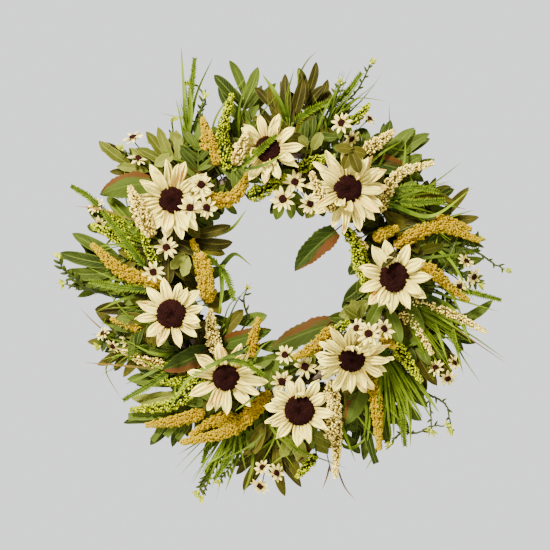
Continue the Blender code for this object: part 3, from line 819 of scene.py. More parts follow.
def make_sunflower(number):
    name = f"sunflower_{number}"
    random = random_for(name)
    head, reach = head_of(name + "_petals")
    middle, axis = head[:2]
    seed_head, seed_radius = head_of(name + "_centre")
    behind, before, width, rise = SUNFLOWER_LOOKS[number]
    start = seed_radius * 0.55
    length = reach - start
    petals = Shape()
    petal_ring(petals, head, random, behind, start, length * 1.02, reach * width, rise - 0.05, **PETAL)
    petal_ring(petals, moved(head, 1.6), random, before, start, length * 0.86, reach * width * 0.95,
               rise + 0.10, curled=before // 5, **PETAL)
    petals.piece(name + "_cloth", CREAM, "petal", [name + "_petals"])
    seed = Shape()
    flock_dome(seed, (seed_head[0], *head[1:]), seed_radius, random)
    seed.piece(name + "_flock", FLOCK, "seed", [name + "_centre"])
    stem = Shape()
    sepals(stem, head, random, 12, reach * 0.62, 5.0)
    root = on_ring(angle_of(middle), RING_RADIUS, BUNDLE_FORWARD + 5)
    rise_to = root + FORWARD * (BUNDLE_RADIUS + 2)
    course = [root, rise_to, middle - axis * 24, middle - axis * 6]
    path = smooth_path(course, 26)
    stem.tube(path, 2.0, 8, 0.4, ridges=0.06)
    calyx(stem, head, SUNFLOWER_CALYX, 20, 0.5)
    stem.piece(name + "_calyx", STEM, "stem", [name + "_stem"])


def daisy(petals, flock, greens, centre, lean, radius, random):
    """One small daisy: pointed petals, a dark flock button and a green calyx."""
    axis = unit(np.array([lean[0], -1.0, lean[1]]))
    head = facing(centre, axis)
    long = radius - DAISY_START
    petal_ring(petals, head, random, 9, DAISY_START, long, radius * 0.145, 0.04, **DAISY_PETAL)
    ahead = moved(head, 0.9)
    petal_ring(petals, ahead, random, 4, DAISY_START, long * 0.84, radius * 0.135, 0.26, **DAISY_PETAL)
    flock_dome(flock, moved(head, 1.3), radius * 0.33, random, rows=9, columns=22, bristles=120, height=0.5)
    calyx(greens, head, DAISY_CALYX, 12, 0.4)
    sepals(greens, moved(head, 2), random, 7, radius * 0.55, 1.5)
    return centre - axis * 7


# spray: CAD node or None, angle of its root on the ring, then each head's place, lean and radius
DAISY_SPRAYS = {
    "daisy_spray_1": (125, (
        (-106, 118, 114, 0.1, 0.1, 17), (-120, 88, 119, -0.1, -0.1, 17), (-99, 88, 118, 0.2, -0.1, 16))),
    "daisy_spray_2": (79, (
        (17, 123, 78, 0.1, 0.1, 17), (1, 101, 78, -0.1, -0.1, 18), (37, 95, 74, 0.1, -0.1, 16))),
    "daisy_spray_3": (-87, (
        (4, -106, 74, -0.3, 0.2, 15), (30, -122, 76, 0.2, 0.1, 17), (0, -141, 78, -0.1, -0.1, 17))),
    "daisy_spray_4": (172, ((-153, 36, 86, 0.1, 0.3, 17), (-170, 4, 86, -0.1, -0.1, 16))),
    "top_daisies": (66, (
        (79, 202, 72, -0.3, 0.1, 16), (92, 182, 66, 0.9, -0.7, 14), (116, 208, 62, 1.1, 0.9, 12))),
    "right_daisies": (-36, (
        (113, -77, 114, -0.2, 0.3, 18), (133, -71, 106, 0.6, 0.5, 16), (98, -70, 106, -0.7, 0.5, 15))),
    "upper_left_daisies": (139, ((-200, 184, 44, -0.5, 1.6, 17), (-193, 156, 50, 0.2, 1.2, 15))),
    "left_daisies": (158, (
        (-249, 92, 48, -0.8, 0.8, 14), (-244, 68, 46, -0.9, -0.6, 14), (-232, 80, 40, 0.4, 0.8, 13))),
    "low_left_daisies": (204, (
        (-240, -79, 48, -1.0, 0.7, 12), (-226, -95, 52, -0.6, -0.9, 12), (-209, -88, 46, 0.8, 0.4, 12))),
    "bottom_daisies": (-95, (
        (-29, -282, 52, -0.5, -0.6, 14), (-8, -265, 54, 0.6, 0.3, 14), (-26, -258, 50, -0.4, 0.7, 13))),
    "far_right_daisies": (6, (
        (246, 18, 54, 0.6, 0.7, 13), (256, -2, 56, 0.8, -0.4, 14), (238, -14, 54, -0.5, -0.8, 13))),
    "low_right_daisies": (-30, (
        (206, -124, 56, -0.5, 0.3, 13), (221, -138, 58, 0.4, -0.6, 14), (230, -118, 54, 0.8, 0.5, 12))),
}


def make_daisies(name):
    angle, heads = DAISY_SPRAYS[name]
    random = random_for(name)
    petals, flock, greens = Shape(), Shape(), Shape()
    middle = np.mean([place(*h[:3]) for h in heads], axis=0)
    root = on_ring(angle, RING_RADIUS, BUNDLE_FORWARD + 8)
    fork = root * 0.3 + middle * 0.7 - FORWARD * 12
    greens.tube(smooth_path([root, root + FORWARD * 18, fork], 12), 1.2, 6, 0.2)
    for right, up, forward, lean_right, lean_up, radius in heads:
        neck = daisy(petals, flock, greens, place(right, up, forward), (lean_right, lean_up), radius, random)
        bend = (fork + neck) / 2 + random.normal(0, 1.5, 3)
        greens.tube(smooth_path([fork, bend, neck], 8), 0.8, 6, 0.2)
    petals.piece(name + "_cloth", DAISY, "daisy", [name] if name in frame["nodes"] else ())
    flock.piece(name + "_flock", FLOCK, "seed")
    greens.piece(name + "_stems", TWIG, "stem")


# ---------------------------------------------------------------- spikes

# cover of beads, bead radius, and how far beads stand off the core at least
SPIKE_LOOKS = {
    "yellow": (0.78, 1.36, 0.60, YELLOW, "yellow_bead"),
    "lime": (0.58, 1.18, 0.50, LIME, "lime_bead"),
    "cream": (0.58, 1.20, 0.45, IVORY, "cream_bead"),
}


def spike_course(node):
    """The start, middle and tip of a CAD spike's thick part, and its thickest radius."""
    points = node_points(node)
    away = from_bundle(points)
    thick = points[away > BUNDLE_RADIUS + 14]
    middle = thick.mean(0)
    main = np.linalg.svd(thick - middle, full_matrices=False)[2][0]
    reach = (thick - middle) @ main
    fits = [np.polyfit(reach, thick[:, k], 2) for k in range(3)]
    ends = (reach.min(), 0.5 * (reach.min() + reach.max()), reach.max())
    course = [np.array([np.polyval(fit, end) for fit in fits]) for end in ends]
    root = points[away.argmin()]
    if np.linalg.norm(course[0] - root) > np.linalg.norm(course[2] - root):
        course = course[::-1]
    line = np.stack([np.polyval(fit, reach) for fit in fits], -1)
    radius = np.linalg.norm(thick - line, axis=1).max()
    return course, min(radius, 11.0)


def spike(name, kind, course, radius, stems, replaces=()):
    """Beads on short stalks round a core, thick near the foot and tapering to the tip. The stem of the spike
    goes into stems."""
    cover, bead, stand, material, slot = SPIKE_LOOKS[kind]
    random = random_for(name)
    course = [np.asarray(p, float) for p in course]
    path = smooth_path(course, 60)
    length = np.linalg.norm(np.diff(path, axis=0), axis=1).sum()
    tangents, side, face = transport(path, FORWARD)
    count = int(cover * 2 * radius * length * 0.7 / bead**2)
    share = (np.arange(count) + random.uniform(0, 1, count)) / count
    share = share * 0.75 + 0.25 * share**1.3
    profile = radius * np.minimum(1.0, (share / 0.10 + 0.25) ** 0.5) * (1 - 0.80 * share**2.0) + 0.6
    lumps = 1 + 0.16 * np.sin(share * length * 0.55 + random.uniform(0, 6)) * random.choice([1, 0.6], count)
    row = share * (len(path) - 1)
    low = np.minimum(row.astype(int), len(path) - 2)
    part = (row - low)[:, None]
    core = path[low] * (1 - part) + path[low + 1] * part
    turn = np.arange(count) * GOLDEN_TURN + random.normal(0, 0.3, count)
    out = side[low] * np.cos(turn)[:, None] + face[low] * np.sin(turn)[:, None]
    depth = random.uniform(0, 1, count) ** 0.55 * (1 - stand) + stand
    off = profile * lumps * depth
    direction = unit(out + tangents[low] * 0.45)
    centres = core + direction * off[:, None]
    beads = Shape()
    radii = bead * random.uniform(0.78, 1.18, count)
    beads.beads(centres, radii, direction, random.uniform(0, 1, count), depth)
    beads.spines(core, centres, 0.32, random.uniform(0, 1, count))
    girth = np.interp(np.linspace(0, 1, 30), np.sort(share), profile[np.argsort(share)])
    # the core takes the deep colour: painted shade behind lime and ivory beads, painted light behind yellow ones
    beads.tube(path[::2], girth * 0.5, 8, ridges=0.15, depth=0.0)
    beads.piece(name + "_beads", material, slot, replaces)
    root = on_ring(angle_of(path[0]), RING_RADIUS, BUNDLE_FORWARD + 8)
    rise = smooth_path([root, root + FORWARD * 20, path[0], path[8]], 16)
    stems.tube(np.vstack([rise[:-1], path[8::4]]), 1.0, 6, 0.5)


# colour, radius, forward at foot and tip, then right and up of foot and tip
EXTRA_SPIKES = (
    ("yellow", 8, 56, 60, (-103, 166), (-106, 210)), ("yellow", 7, 60, 66, (-86, 147), (-96, 192)),
    ("yellow", 7, 52, 56, (-186, -71), (-228, -58)), ("yellow", 9, 58, 56, (-103, -184), (-181, -201)),
    ("yellow", 8, 62, 60, (-46, -192), (-92, -201)), ("yellow", 8, 56, 62, (-40, -110), (-31, -58)),
    ("yellow", 9, 66, 70, (122, 47), (154, 63)), ("yellow", 10, 60, 56, (186, 13), (228, -20)),
    ("yellow", 7, 84, 96, (129, -84), (149, -95)), ("yellow", 6, 52, 52, (222, -18), (250, -34)),
    ("yellow", 8, 70, 72, (-110, 30), (-94, -22)), ("yellow", 8, 60, 58, (-64, -186), (-122, -214)),
    ("yellow", 7, 60, 58, (206, 77), (252, 61)), ("yellow", 10, 76, 88, (70, -70), (16, -109)),
    ("yellow", 9, 66, 72, (-102, -32), (-98, 20)), ("lime", 11, 52, 52, (-190, 20), (-255, 66)),
    ("lime", 11, 50, 50, (-188, 36), (-240, 86)), ("lime", 9, 68, 76, (98, 46), (110, -16)),
    ("lime", 8, 50, 50, (-104, -122), (-160, -120)), ("lime", 7, 58, 66, (-166, 13), (-186, 63)),
    ("lime", 12, 60, 60, (-46, 103), (6, 132)), ("lime", 9, 56, 60, (20, 140), (70, 158)),
    ("lime", 7, 46, 52, (92, 202), (117, 229)), ("lime", 8, 54, 54, (-112, -132), (-165, -143)),
    ("lime", 8, 48, 50, (46, -240), (20, -271)), ("lime", 9, 60, 66, (66, -86), (90, -62)),
    ("lime", 9, 66, 74, (150, -90), (185, -141)), ("cream", 9, 98, 102, (-62, 144), (-45, 189)),
    ("cream", 10, 100, 104, (-171, 50), (-200, 116)), ("cream", 9, 62, 66, (108, 164), (149, 192)),
    ("cream", 9, 96, 112, (67, 84), (38, 134)), ("cream", 11, 62, 66, (-86, -106), (-96, -47)),
    ("cream", 9, 78, 98, (62, -218), (62, -160)), ("cream", 8, 60, 62, (158, -47), (200, -105)),
    ("cream", 8, 50, 50, (-156, -122), (-216, -100)), ("cream", 7, 56, 60, (92, 56), (114, 36)),
)


def make_spikes():
    stems = [Shape() for _ in range(6)]
    for kind in SPIKE_LOOKS:
        for node in nodes_like(kind + "_spike"):
            course, radius = spike_course(node)
            spike(node, kind, course, radius, stems[sector_of(course[0])], [node])
    for number, (kind, radius, near, far, foot, tip) in enumerate(EXTRA_SPIKES):
        start, end = place(*foot, near), place(*tip, far)
        bend = np.cross(end - start, FORWARD) * random_for(f"bend_{number}").uniform(-0.10, 0.10)
        course = [start, (start + end) / 2 + bend, end]
        spike(f"extra_{kind}_spike_{number + 1}", kind, course, radius, stems[sector_of(start)])
    for number, shape in enumerate(stems):
        shape.piece(f"spike_stems_{number + 1}", STEM, "stem")


# ---------------------------------------------------------------- leaves

def leaf_tips(node):
    """The root of a CAD spray and each leaf's tip: four corners close together, with nothing beyond them."""
    points = node_points(node)
    away = from_bundle(points)
    root = points[away.argmin()]
    gaps = np.linalg.norm(points[:, None] - points[None], axis=2)
    tips = []
    for i in np.argsort(-away):
        near = gaps[i] < 3.0
        group = points[near].mean(0)
        if near.sum() != 4 or any(np.linalg.norm(group - t) < 6 for t in tips):
            continue
        outward = unit(group - root)
        beyond = (points - group) @ outward
        beside = np.linalg.norm(points - group - np.outer(beyond, outward), axis=1)
        if not ((beyond > 2) & (beside < 9)).any() and np.linalg.norm(group - root) > 35:
            tips.append(group)
    return root, tips


def leaflet(shape, foot, tip, width, random, face=FORWARD, bow=0.08, tint=None, **look):
    """One lance-shaped leaf, arched a little and folded along its midrib."""
    span = tip - foot
    length = np.linalg.norm(span)
    arch = unit(face) * length * random.uniform(-0.5, 1.0) * bow
    sway = np.cross(span, face) * random.uniform(-0.06, 0.06)
    course = [foot, foot + span * 0.35 + arch + sway, foot + span * 0.72 + arch + sway, tip]
    settings = {"rows": 14, "columns": 7, "swell": 0.70, "point": 0.72, "fold": random.uniform(0.08, 0.30),
                "ruffle": 0.4, "twist": random.uniform(-0.4, 0.4), "thickness": 0.4}
    settings.update(look)
    blade(shape, course, face, width, tint=random.uniform(0, 1) if tint is None else tint, **settings)


def lead(shape, course, radius=1.0):
    """A stem from the ring to the foot of a course, which it meets in line."""
    foot, ahead = np.asarray(course[0]), np.asarray(course[1])
    root = on_ring(angle_of(foot), RING_RADIUS, BUNDLE_FORWARD + 8)
    through = root + FORWARD * max(6.0, (root[1] - foot[1]) * 0.55)
    shape.tube(smooth_path([root, through, foot, foot * 0.85 + ahead * 0.15], 14), radius, 6, 0.3)


def course_of(spots, near, far):
    """Places on a course given as right and up. Its forward goes evenly from near to far."""
    gaps = len(spots) - 1
    return [place(*spot, near + (far - near) * number / gaps) for number, spot in enumerate(spots)]


def sector_pieces(name, table):
    """The rows of a table by the sixth of the ring where they start, counted from the right, and for each
    sixth the name of its piece, a random source and an empty shape."""
    sectors = {}
    for row in table:
        sectors.setdefault(sector_of(place(*row[0][0], 0)) + 1, []).append(row)
    for sector, rows in sorted(sectors.items()):
        label = f"{name}_{sector}"
        yield label, random_for(label), Shape(), rows


def make_leaf_sprays():
    for node in nodes_like("leaf_spray"):
        random = random_for(node)
        slot = next(p["material_slot"] for p in frame["record"]["subparts"] if p["node"] == node)
        root, tips = leaf_tips(node)
        main = max(tips, key=lambda t: np.linalg.norm(t - root))
        shape = Shape()
        line = main - root
        axis = unit(np.mean(tips, axis=0) - root)
        stem_end = root + axis * (np.linalg.norm(line) - 45)
        path = smooth_path([root, (root + stem_end) / 2 + FORWARD * 3, stem_end], 14)
        shape.tube(path, np.linspace(1.5, 0.8, 14), 6, 0.3)
        for tip in tips:
            reach = (tip - root) @ axis
            back = min(np.linalg.norm(tip - root), reach) - 52
            share = np.clip(back / np.linalg.norm(stem_end - root), 0.15, 1.0)
            foot = path[int(round(share * 13))]
            leaflet(shape, foot, tip, random.uniform(6.2, 7.6), random)
        for share in (0.35, 0.6, 0.8):
            for hand in (-1, 1):
                foot = path[int(share * 13)]
                out = unit(axis + hand * np.cross(axis, FORWARD) * random.uniform(0.5, 1.0))
                tip = foot + out * random.uniform(30, 44) + FORWARD * random.uniform(2, 12)
                leaflet(shape, foot, tip, random.uniform(5.0, 6.4), random)
        shape.piece(node + "_leaves", OLIVE if slot == "olive_leaf" else GREEN, slot, [node])


# right and up of the foot, right and up of the tip, forward at foot and tip, half width, and lean of the face
# to the right. A negative half width turns the leaf over.
BROAD_LEAVES = (
    (-176, 123, -243, 107, 56, 60, -19, 0.2), (72, 60, 17, 5, 44, 58, 17, -0.5),
    (72, -64, -16, -100, 44, 52, -17, 0.1), (-78, -92, -14, -73, 50, 56, 13, 0.3),
    (-99, -101, -160, -127, 62, 60, 16, 0.2), (108, -146, 84, -200, 58, 62, -14, -0.2),
    (120, 152, 172, 138, 50, 52, 14, 0.2), (-106, 140, -134, 168, 52, 54, 12, 0.4),
    (-170, 80, -214, 66, 46, 46, 16, 0.3), (40, -210, 22, -250, 44, 46, 13, 0.0),
    (150, 100, 196, 92, 40, 44, 15, 0.1), (-60, -170, -96, -214, 40, 42, 15, 0.2),
)
OLIVE_LEAVES = (
    (-84, -82, -52, -46, 46, 52, 9, 0.2), (-112, -14, -82, -52, 48, 54, 10, 0.2),
    (-20, -222, -62, -258, 36, 34, 7.5, 0.2), (-16, -226, -44, -284, 36, 34, 7.5, -0.2),
    (-8, -230, 4, -298, 34, 34, 7.5, 0.1), (4, -226, 22, -280, 34, 34, 7, 0.2),
    (176, -96, 208, -148, 48, 48, 9, 0.2), (166, -104, 192, -160, 46, 46, 9, -0.2),
    (190, -88, 230, -132, 46, 46, 8, 0.2), (0, 196, -16, 258, 44, 48, 8, 0.2),
    (6, 196, 4, 270, 44, 48, 8, -0.2), (12, 200, 28, 264, 44, 48, 8, 0.2),
    (190, 36, 238, 50, 40, 42, 8, 0.2), (-118, 54, -68, 66, 50, 60, 8.5, 0.1),
    (-116, 46, -66, 44, 48, 56, 8.5, -0.1), (-112, 38, -76, 28, 46, 52, 7.5, 0.2),
    (92, 164, 70, 166, 108, 112, 7.5, 0.3), (92, 164, 111, 158, 108, 112, 8, -0.3),
    (90, 162, 101, 133, 108, 117, 8, 0.2), (88, 160, 80, 138, 108, 116, 7, -0.2),
    (150, 32, 130, 10, 102, 110, 4.6, 0.2), (-10, -190, -52, -241, 54, 52, 10, 0.2),
    (-24, -198, -36, -240, 58, 54, 9, -0.3), (138, 84, 204, 38, 54, 56, 8.5, 0.2),
    (140, 104, 231, 98, 50, 54, 8.5, -0.2), (140, 80, 186, 28, 50, 52, 9, 0.1),
    (150, 74, 222, 70, 48, 50, 9, 0.3), (-150, 34, -126, -8, 62, 66, 9, 0.2),
    (-152, 34, -152, -14, 60, 62, 10, -0.2), (-148, 44, -108, 26, 62, 66, 9, 0.2),
    (-130, 84, -110, 50, 60, 62, 9, 0.1), (-140, 80, -142, 44, 60, 62, 9, -0.2),
    (-190, -46, -251, -46, 48, 50, 9, 0.1), (-180, -60, -228, -64, 52, 54, 9, 0.2),
    (-142, 22, -112, -24, 50, 52, 9, 0.2), (-128, 38, -104, -8, 48, 50, 9, -0.2),
    (184, -90, 240, -118, 46, 50, 9, 0.2), (180, -100, 228, -144, 46, 50, 9, -0.1),
)
LIGHT_LEAVES = (
    (114, -36, 76, -54, 54, 60, 11, 0.2), (108, -48, 84, -66, 58, 62, 9, -0.2),
    (52, 102, 32, 76, 44, 48, 9, 0.2), (24, -204, 62, -240, 44, 46, 12, 0.2),
    (18, -210, 32, -256, 42, 44, 11, -0.2), (-120, -150, -184, -126, 42, 42, 10, 0.2),
    (-204, 148, -246, 180, 44, 46, 8.5, 0.2), (-134, -158, -202, -166, 44, 44, 9, 0.2),
    (10, -214, -2, -244, 46, 48, 9, 0.2), (200, 28, 246, 28, 44, 46, 6, 0.2),
    (204, 20, 240, 2, 44, 46, 6, -0.2), (198, 34, 228, 62, 44, 46, 6, 0.2),
    (-180, 140, -222, 146, 44, 46, 7, 0.2), (-176, 146, -206, 170, 44, 46, 7, -0.2),
    (104, -58, 82, -44, 62, 70, 8, 0.2), (104, -58, 92, -33, 62, 70, 8, -0.1),
    (104, -58, 108, -38, 62, 70, 7, 0.2), (-130, 28, -148, 8, 70, 74, 8, 0.2),
    (-128, 26, -132, -2, 70, 74, 8, 0.1), (-146, 160, -170, 146, 58, 62, 9, 0.2),
    (-132, 176, -150, 190, 54, 56, 8, -0.2), (40, 168, 52, 190, 62, 66, 8, 0.2),
    (34, 172, 22, 184, 62, 66, 7, 0.2), (-150, 150, -182, 192, 50, 54, 8, 0.2),
    (-146, 152, -166, 198, 52, 56, 7.5, -0.2), (-150, 146, -194, 170, 50, 52, 7.5, 0.2),
    (-140, 152, -142, 194, 54, 56, 7, 0.1), (30, -208, 72, -230, 46, 50, 10, 0.2),
)
GREEN_LEAVES = (
    (-136, -146, -208, -140, 46, 46, 10, 0.2), (-140, -134, -198, -118, 46, 46, 9, 0.2),
    (-128, -164, -196, -184, 40, 40, 10, -0.2), (138, -166, 170, -214, 40, 38, 8, 0.2),
    (150, -150, 188, -196, 40, 38, 8, -0.2), (-196, -30, -246, -22, 42, 42, 8, 0.2),
    (-240, 60, -262, 66, 42, 42, 7, 0.2), (-64, -180, -106, -240, 38, 38, 8, 0.2),
    (-70, -176, -128, -226, 36, 36, 8, -0.2), (-226, 14, -298, 30, 42, 44, 9, 0.2),
    (-222, 6, -290, 6, 42, 44, 9, -0.2), (-220, 24, -282, 56, 40, 42, 9, 0.2),
    (-214, 54, -262, 92, 38, 40, 10, 0.2), (-200, 66, -236, 104, 38, 40, 9, -0.2),
    (118, -2, 82, -34, 46, 54, 10, 0.2), (112, 22, 90, 0, 44, 50, 8, -0.2),
    (106, -30, 80, -44, 46, 52, 9, 0.1), (0, 112, -16, 82, 42, 46, 7, 0.2),
    (20, 110, 28, 78, 42, 46, 7, -0.2), (44, 104, 56, 78, 44, 48, 8, 0.2),
    (-20, -156, -10, -104, 40, 44, 10, 0.2), (2, -152, 28, -104, 40, 44, 10, -0.2),
    (-36, -150, -42, -100, 40, 44, 10, 0.2), (14, -156, -16, -124, 44, 46, 9, 0.1),
    (30, -140, 44, -96, 40, 44, 9, 0.2), (-130, -134, -196, -148, 42, 42, 9, 0.2),
    (-112, -10, -76, 8, 44, 50, 8, 0.2), (-104, -40, -62, -22, 44, 50, 8, 0.2),
    (-96, -56, -64, -66, 42, 46, 8, -0.2), (128, 146, 146, 208, 42, 44, 9, 0.2),
    (132, 146, 178, 198, 42, 44, 9, -0.2), (136, 146, 198, 190, 42, 44, 9, 0.2),
    (138, 140, 188, 162, 42, 44, 9, 0.1), (150, -112, 196, -178, 42, 42, 9, 0.2),
    (142, -44, 157, -92, 66, 70, 9, 0.2), (170, -38, 185, -80, 62, 64, 9, -0.2),
    (130, -36, 113, -68, 62, 66, 8.5, 0.3), (-30, -96, 22, -98, 44, 48, 9, 0.1),
    (-24, -112, 20, -116, 44, 50, 9, -0.1), (-60, -64, -20, -54, 40, 46, 9, 0.2),
    (96, 120, 60, 92, 52, 54, 9, -0.1), (-84, 152, -54, 118, 58, 60, 9, 0.1),
    (-74, 160, -28, 124, 56, 60, 9, -0.2), (-60, 150, -60, 108, 54, 58, 8, 0.2),
    (-10, 116, 30, 96, 44, 50, 8, 0.1), (112, 40, 92, 12, 46, 52, 8, 0.3),
    (118, 6, 102, -26, 50, 54, 8, 0.2), (-58, 232, -91, 268, 46, 50, 8, 0.2),
    (-4, 108, -8, 74, 42, 46, 8, 0.1), (8, 108, 12, 75, 42, 46, 7, -0.1),
    (206, 30, 264, 52, 42, 46, 8, 0.2), (212, 20, 270, 22, 42, 46, 8, -0.2),
    (-226, -4, -284, -14, 40, 42, 8, 0.2), (110, -58, 62, -57, 50, 54, 8.5, 0.2),
    (-64, -130, -12, -112, 46, 50, 9, 0.1), (-66, -110, -26, -94, 44, 48, 8, 0.2),
    (124, -166, 142, -228, 46, 50, 8, 0.2),
)
BLUNT_LEAVES = (
    (-150, -176, -174, -222, 50, 52, 5.2, 0.1), (-136, -178, -156, -216, 50, 52, 5.8, 0.2),
    (-116, -180, -140, -220, 50, 52, 5.0, -0.1), (-150, -186, -206, -190, 50, 52, 6.5, 0.2),
    (112, -190, 126, -252, 50, 54, 5.5, 0.2), (96, -180, 72, -216, 50, 54, 6.5, 0.2),
)


def make_leaves(name, table, material, slot, **look):
    rows = [((row[:2], row[2:4]), *row[4:]) for row in table]
    for label, random, shape, group in sector_pieces(name, rows):
        for spots, near, far, width, lean in group:
            course = course_of(spots, near, far)
            face = unit(FORWARD + np.array([lean, 0, lean]))
            leaflet(shape, course[0], course[-1], width, random, face, **look)
            lead(shape, course)
        shape.piece(label, material, slot)


def make_filler(name, material, slot, count, inner, reaches, forwards, width):
    """Sprigs of leaves all round the ring that close the gaps between the flowers. inner is the share of them
    that point to the middle of the wreath."""
    random = random_for(name)
    sectors = [Shape() for _ in range(6)]
    for number in range(count):
        angle = (number + random.uniform(0, 0.8)) * 360 / count
        way = -1 if random.uniform() < inner else 1
        shape = sectors[int(angle // 60) % 6]
        long = random.uniform(*reaches) * (0.4 if way < 0 else 1.0)
        start_radius = RING_RADIUS + way * 8
        root = on_ring(angle, start_radius, BUNDLE_FORWARD + 14)
        end = on_ring(angle + random.uniform(-22, 22), start_radius + way * long, random.uniform(*forwards))
        path = smooth_path([root, root * 0.6 + end * 0.4 + FORWARD * random.uniform(4, 14), end], 12)
        shape.tube(path, np.linspace(1.2, 0.7, 12), 5, 0.3)
        axis = unit(path[-1] - path[-4])
        size = 0.78 if way < 0 else 1.0
        look = {"rows": 8, "columns": 5}
        leaflet(shape, path[-1], path[-1] + axis * random.uniform(26, 38) * size, width, random, **look)
        for step in range(3, 11, 2):
            for hand in (-1, 1):
                out = axis + hand * np.cross(axis, FORWARD) * random.uniform(0.6, 1.3)
                out = unit(out + FORWARD * random.uniform(-0.1, 0.5))
                tip = path[step] + out * random.uniform(24, 40) * size
                leaflet(shape, path[step], tip, width * random.uniform(0.75, 1.05), random, bow=0.12, **look)
    for number, shape in enumerate(sectors):
        shape.piece(f"{name}_{number + 1}", material, slot)


# ---------------------------------------------------------------- grass, ferns and twigs

# places along each, as right and up, then forward at foot and tip. Grasses and straws end with a half width.
FERNS = (
    (((-56, -200), (-82, -240), (-108, -282)), 42, 44), (((190, 20), (226, 24), (262, 34)), 44, 46),
    (((-50, -196), (-76, -232), (-102, -262)), 46, 48), (((152, -122), (160, -172), (164, -226)), 60, 58),
    (((-92, -160), (-92, -206), (-106, -250)), 46, 48), (((-129, 174), (-123, 234), (-117, 288)), 44, 52),
    (((-204, 47), (-251, 98), (-280, 118)), 50, 54), (((-180, 7), (-210, 47), (-237, 84)), 62, 70),
    (((-170, -20), (-217, -16), (-255, -9)), 62, 60), (((-147, -126), (-177, -147), (-210, -166)), 56, 58),
    (((-44, -210), (-67, -241), (-90, -272)), 48, 52), (((-82, 12), (-72, -7), (-64, -32)), 58, 66),
    (((-82, 12), (-94, 20), (-105, 27)), 58, 66), (((13, 200), (34, 218), (60, 231)), 50, 56),
    (((54, 222), (84, 241), (105, 269)), 44, 50), (((-64, 137), (-36, 159), (-9, 182)), 96, 104),
    (((149, 114), (178, 117), (206, 111)), 60, 66), (((150, 98), (182, 97), (214, 100)), 64, 62),
    (((205, -14), (248, -22), (291, -33)), 50, 52), (((-79, -110), (-50, -114), (-27, -129)), 120, 120),
    (((184, -40), (214, -62), (236, -100)), 56, 58),
)
GRASSES = (
    (((160, -126), (170, -176), (172, -230)), 56, 54, 3.2),
    (((146, -126), (148, -176), (150, -222)), 58, 54, 3.0),
    (((168, -124), (192, -158), (210, -184)), 56, 54, 3.0),
    (((140, -120), (138, -170), (134, -214)), 58, 56, 2.8),
    (((-60, -200), (-86, -238), (-114, -276)), 48, 50, 3.0),
    (((-48, -206), (-62, -250), (-76, -290)), 46, 46, 2.6),
    (((-40, -210), (-40, -256), (-52, -296)), 44, 44, 2.2),
    (((-129, 174), (-131, 241), (-135, 306)), 46, 54, 2.6),
    (((-126, 181), (-115, 241), (-92, 292)), 48, 56, 2.2),
    (((-130, 170), (-122, 215), (-124, 262)), 52, 60, 3.4),
    (((-82, 12), (-63, 29), (-40, 12)), 58, 64, 4.2), (((-82, 12), (-80, -20), (-84, -51)), 58, 62, 3.0),
    (((-78, -78), (-62, -38), (-40, -9)), 50, 56, 1.2), (((-80, -70), (-70, -40), (-48, -22)), 50, 58, 1.0),
    (((-92, 52), (-67, 63), (-47, 88)), 50, 60, 2.4), (((7, 205), (-8, 241), (-26, 268)), 52, 58, 3.6),
    (((10, 205), (6, 236), (16, 276)), 52, 58, 2.4), (((82, 226), (105, 237), (140, 233)), 44, 48, 1.4),
    (((84, 212), (111, 240), (134, 270)), 44, 50, 1.2), (((22, 268), (34, 288), (46, 300)), 40, 44, 1.0),
    (((-48, 138), (-19, 146), (6, 163)), 98, 104, 2.6), (((6, 163), (4, 186), (-2, 212)), 92, 84, 2.0),
    (((139, 100), (192, 117), (240, 151)), 62, 66, 1.6), (((139, 96), (198, 78), (254, 116)), 66, 70, 3.0),
    (((139, 90), (200, 96), (246, 88)), 60, 62, 2.6), (((185, -17), (239, -34), (290, -49)), 52, 54, 1.6),
    (((208, -58), (252, -80), (298, -112)), 50, 54, 1.4),
    (((184, -28), (222, -60), (242, -131)), 60, 56, 5.0),
    (((180, -34), (206, -70), (222, -118)), 62, 60, 5.0),
    (((190, -26), (228, -48), (252, -90)), 56, 58, 4.4),
    (((228, -74), (241, -107), (266, -145)), 48, 50, 1.2),
    (((150, -126), (156, -168), (160, -224)), 56, 58, 3.0),
    (((154, -126), (170, -160), (188, -192)), 58, 58, 3.0),
    (((150, -120), (164, -160), (172, -206)), 60, 60, 3.0),
    (((156, -120), (176, -150), (202, -196)), 54, 56, 2.6),
    (((-34, -158), (-47, -168), (-62, -179)), 98, 100, 1.6),
    (((-44, -96), (-84, -114), (-124, -138), (-152, -182)), 118, 84, 2.8),
    (((-40, -126), (-30, -99), (-12, -84)), 96, 90, 2.2),
    (((-222, -108), (-236, -128), (-217, -164)), 46, 50, 1.0),
    (((62, -212), (92, -232), (124, -208)), 46, 50, 2.6),
    (((130, -190), (128, -232), (112, -262)), 44, 46, 2.4),
    (((-50, -206), (-76, -236), (-104, -256)), 52, 54, 3.4),
)
STRAWS = (
    (((-159, -126), (-217, -121), (-265, -117)), 54, 54, 1.4),
    (((-206, 76), (-244, 88), (-278, 92)), 56, 58, 1.4),
    (((74, -258), (84, -284), (98, -302)), 44, 46, 1.1),
    (((64, -256), (60, -272), (54, -288)), 44, 46, 1.2),
    (((208, -56), (250, -84), (300, -118)), 52, 56, 1.0),
    (((150, -60), (196, -92), (220, -130)), 50, 50, 1.0),
    (((-236, -78), (-254, -62), (-272, -44)), 42, 44, 0.9),
)
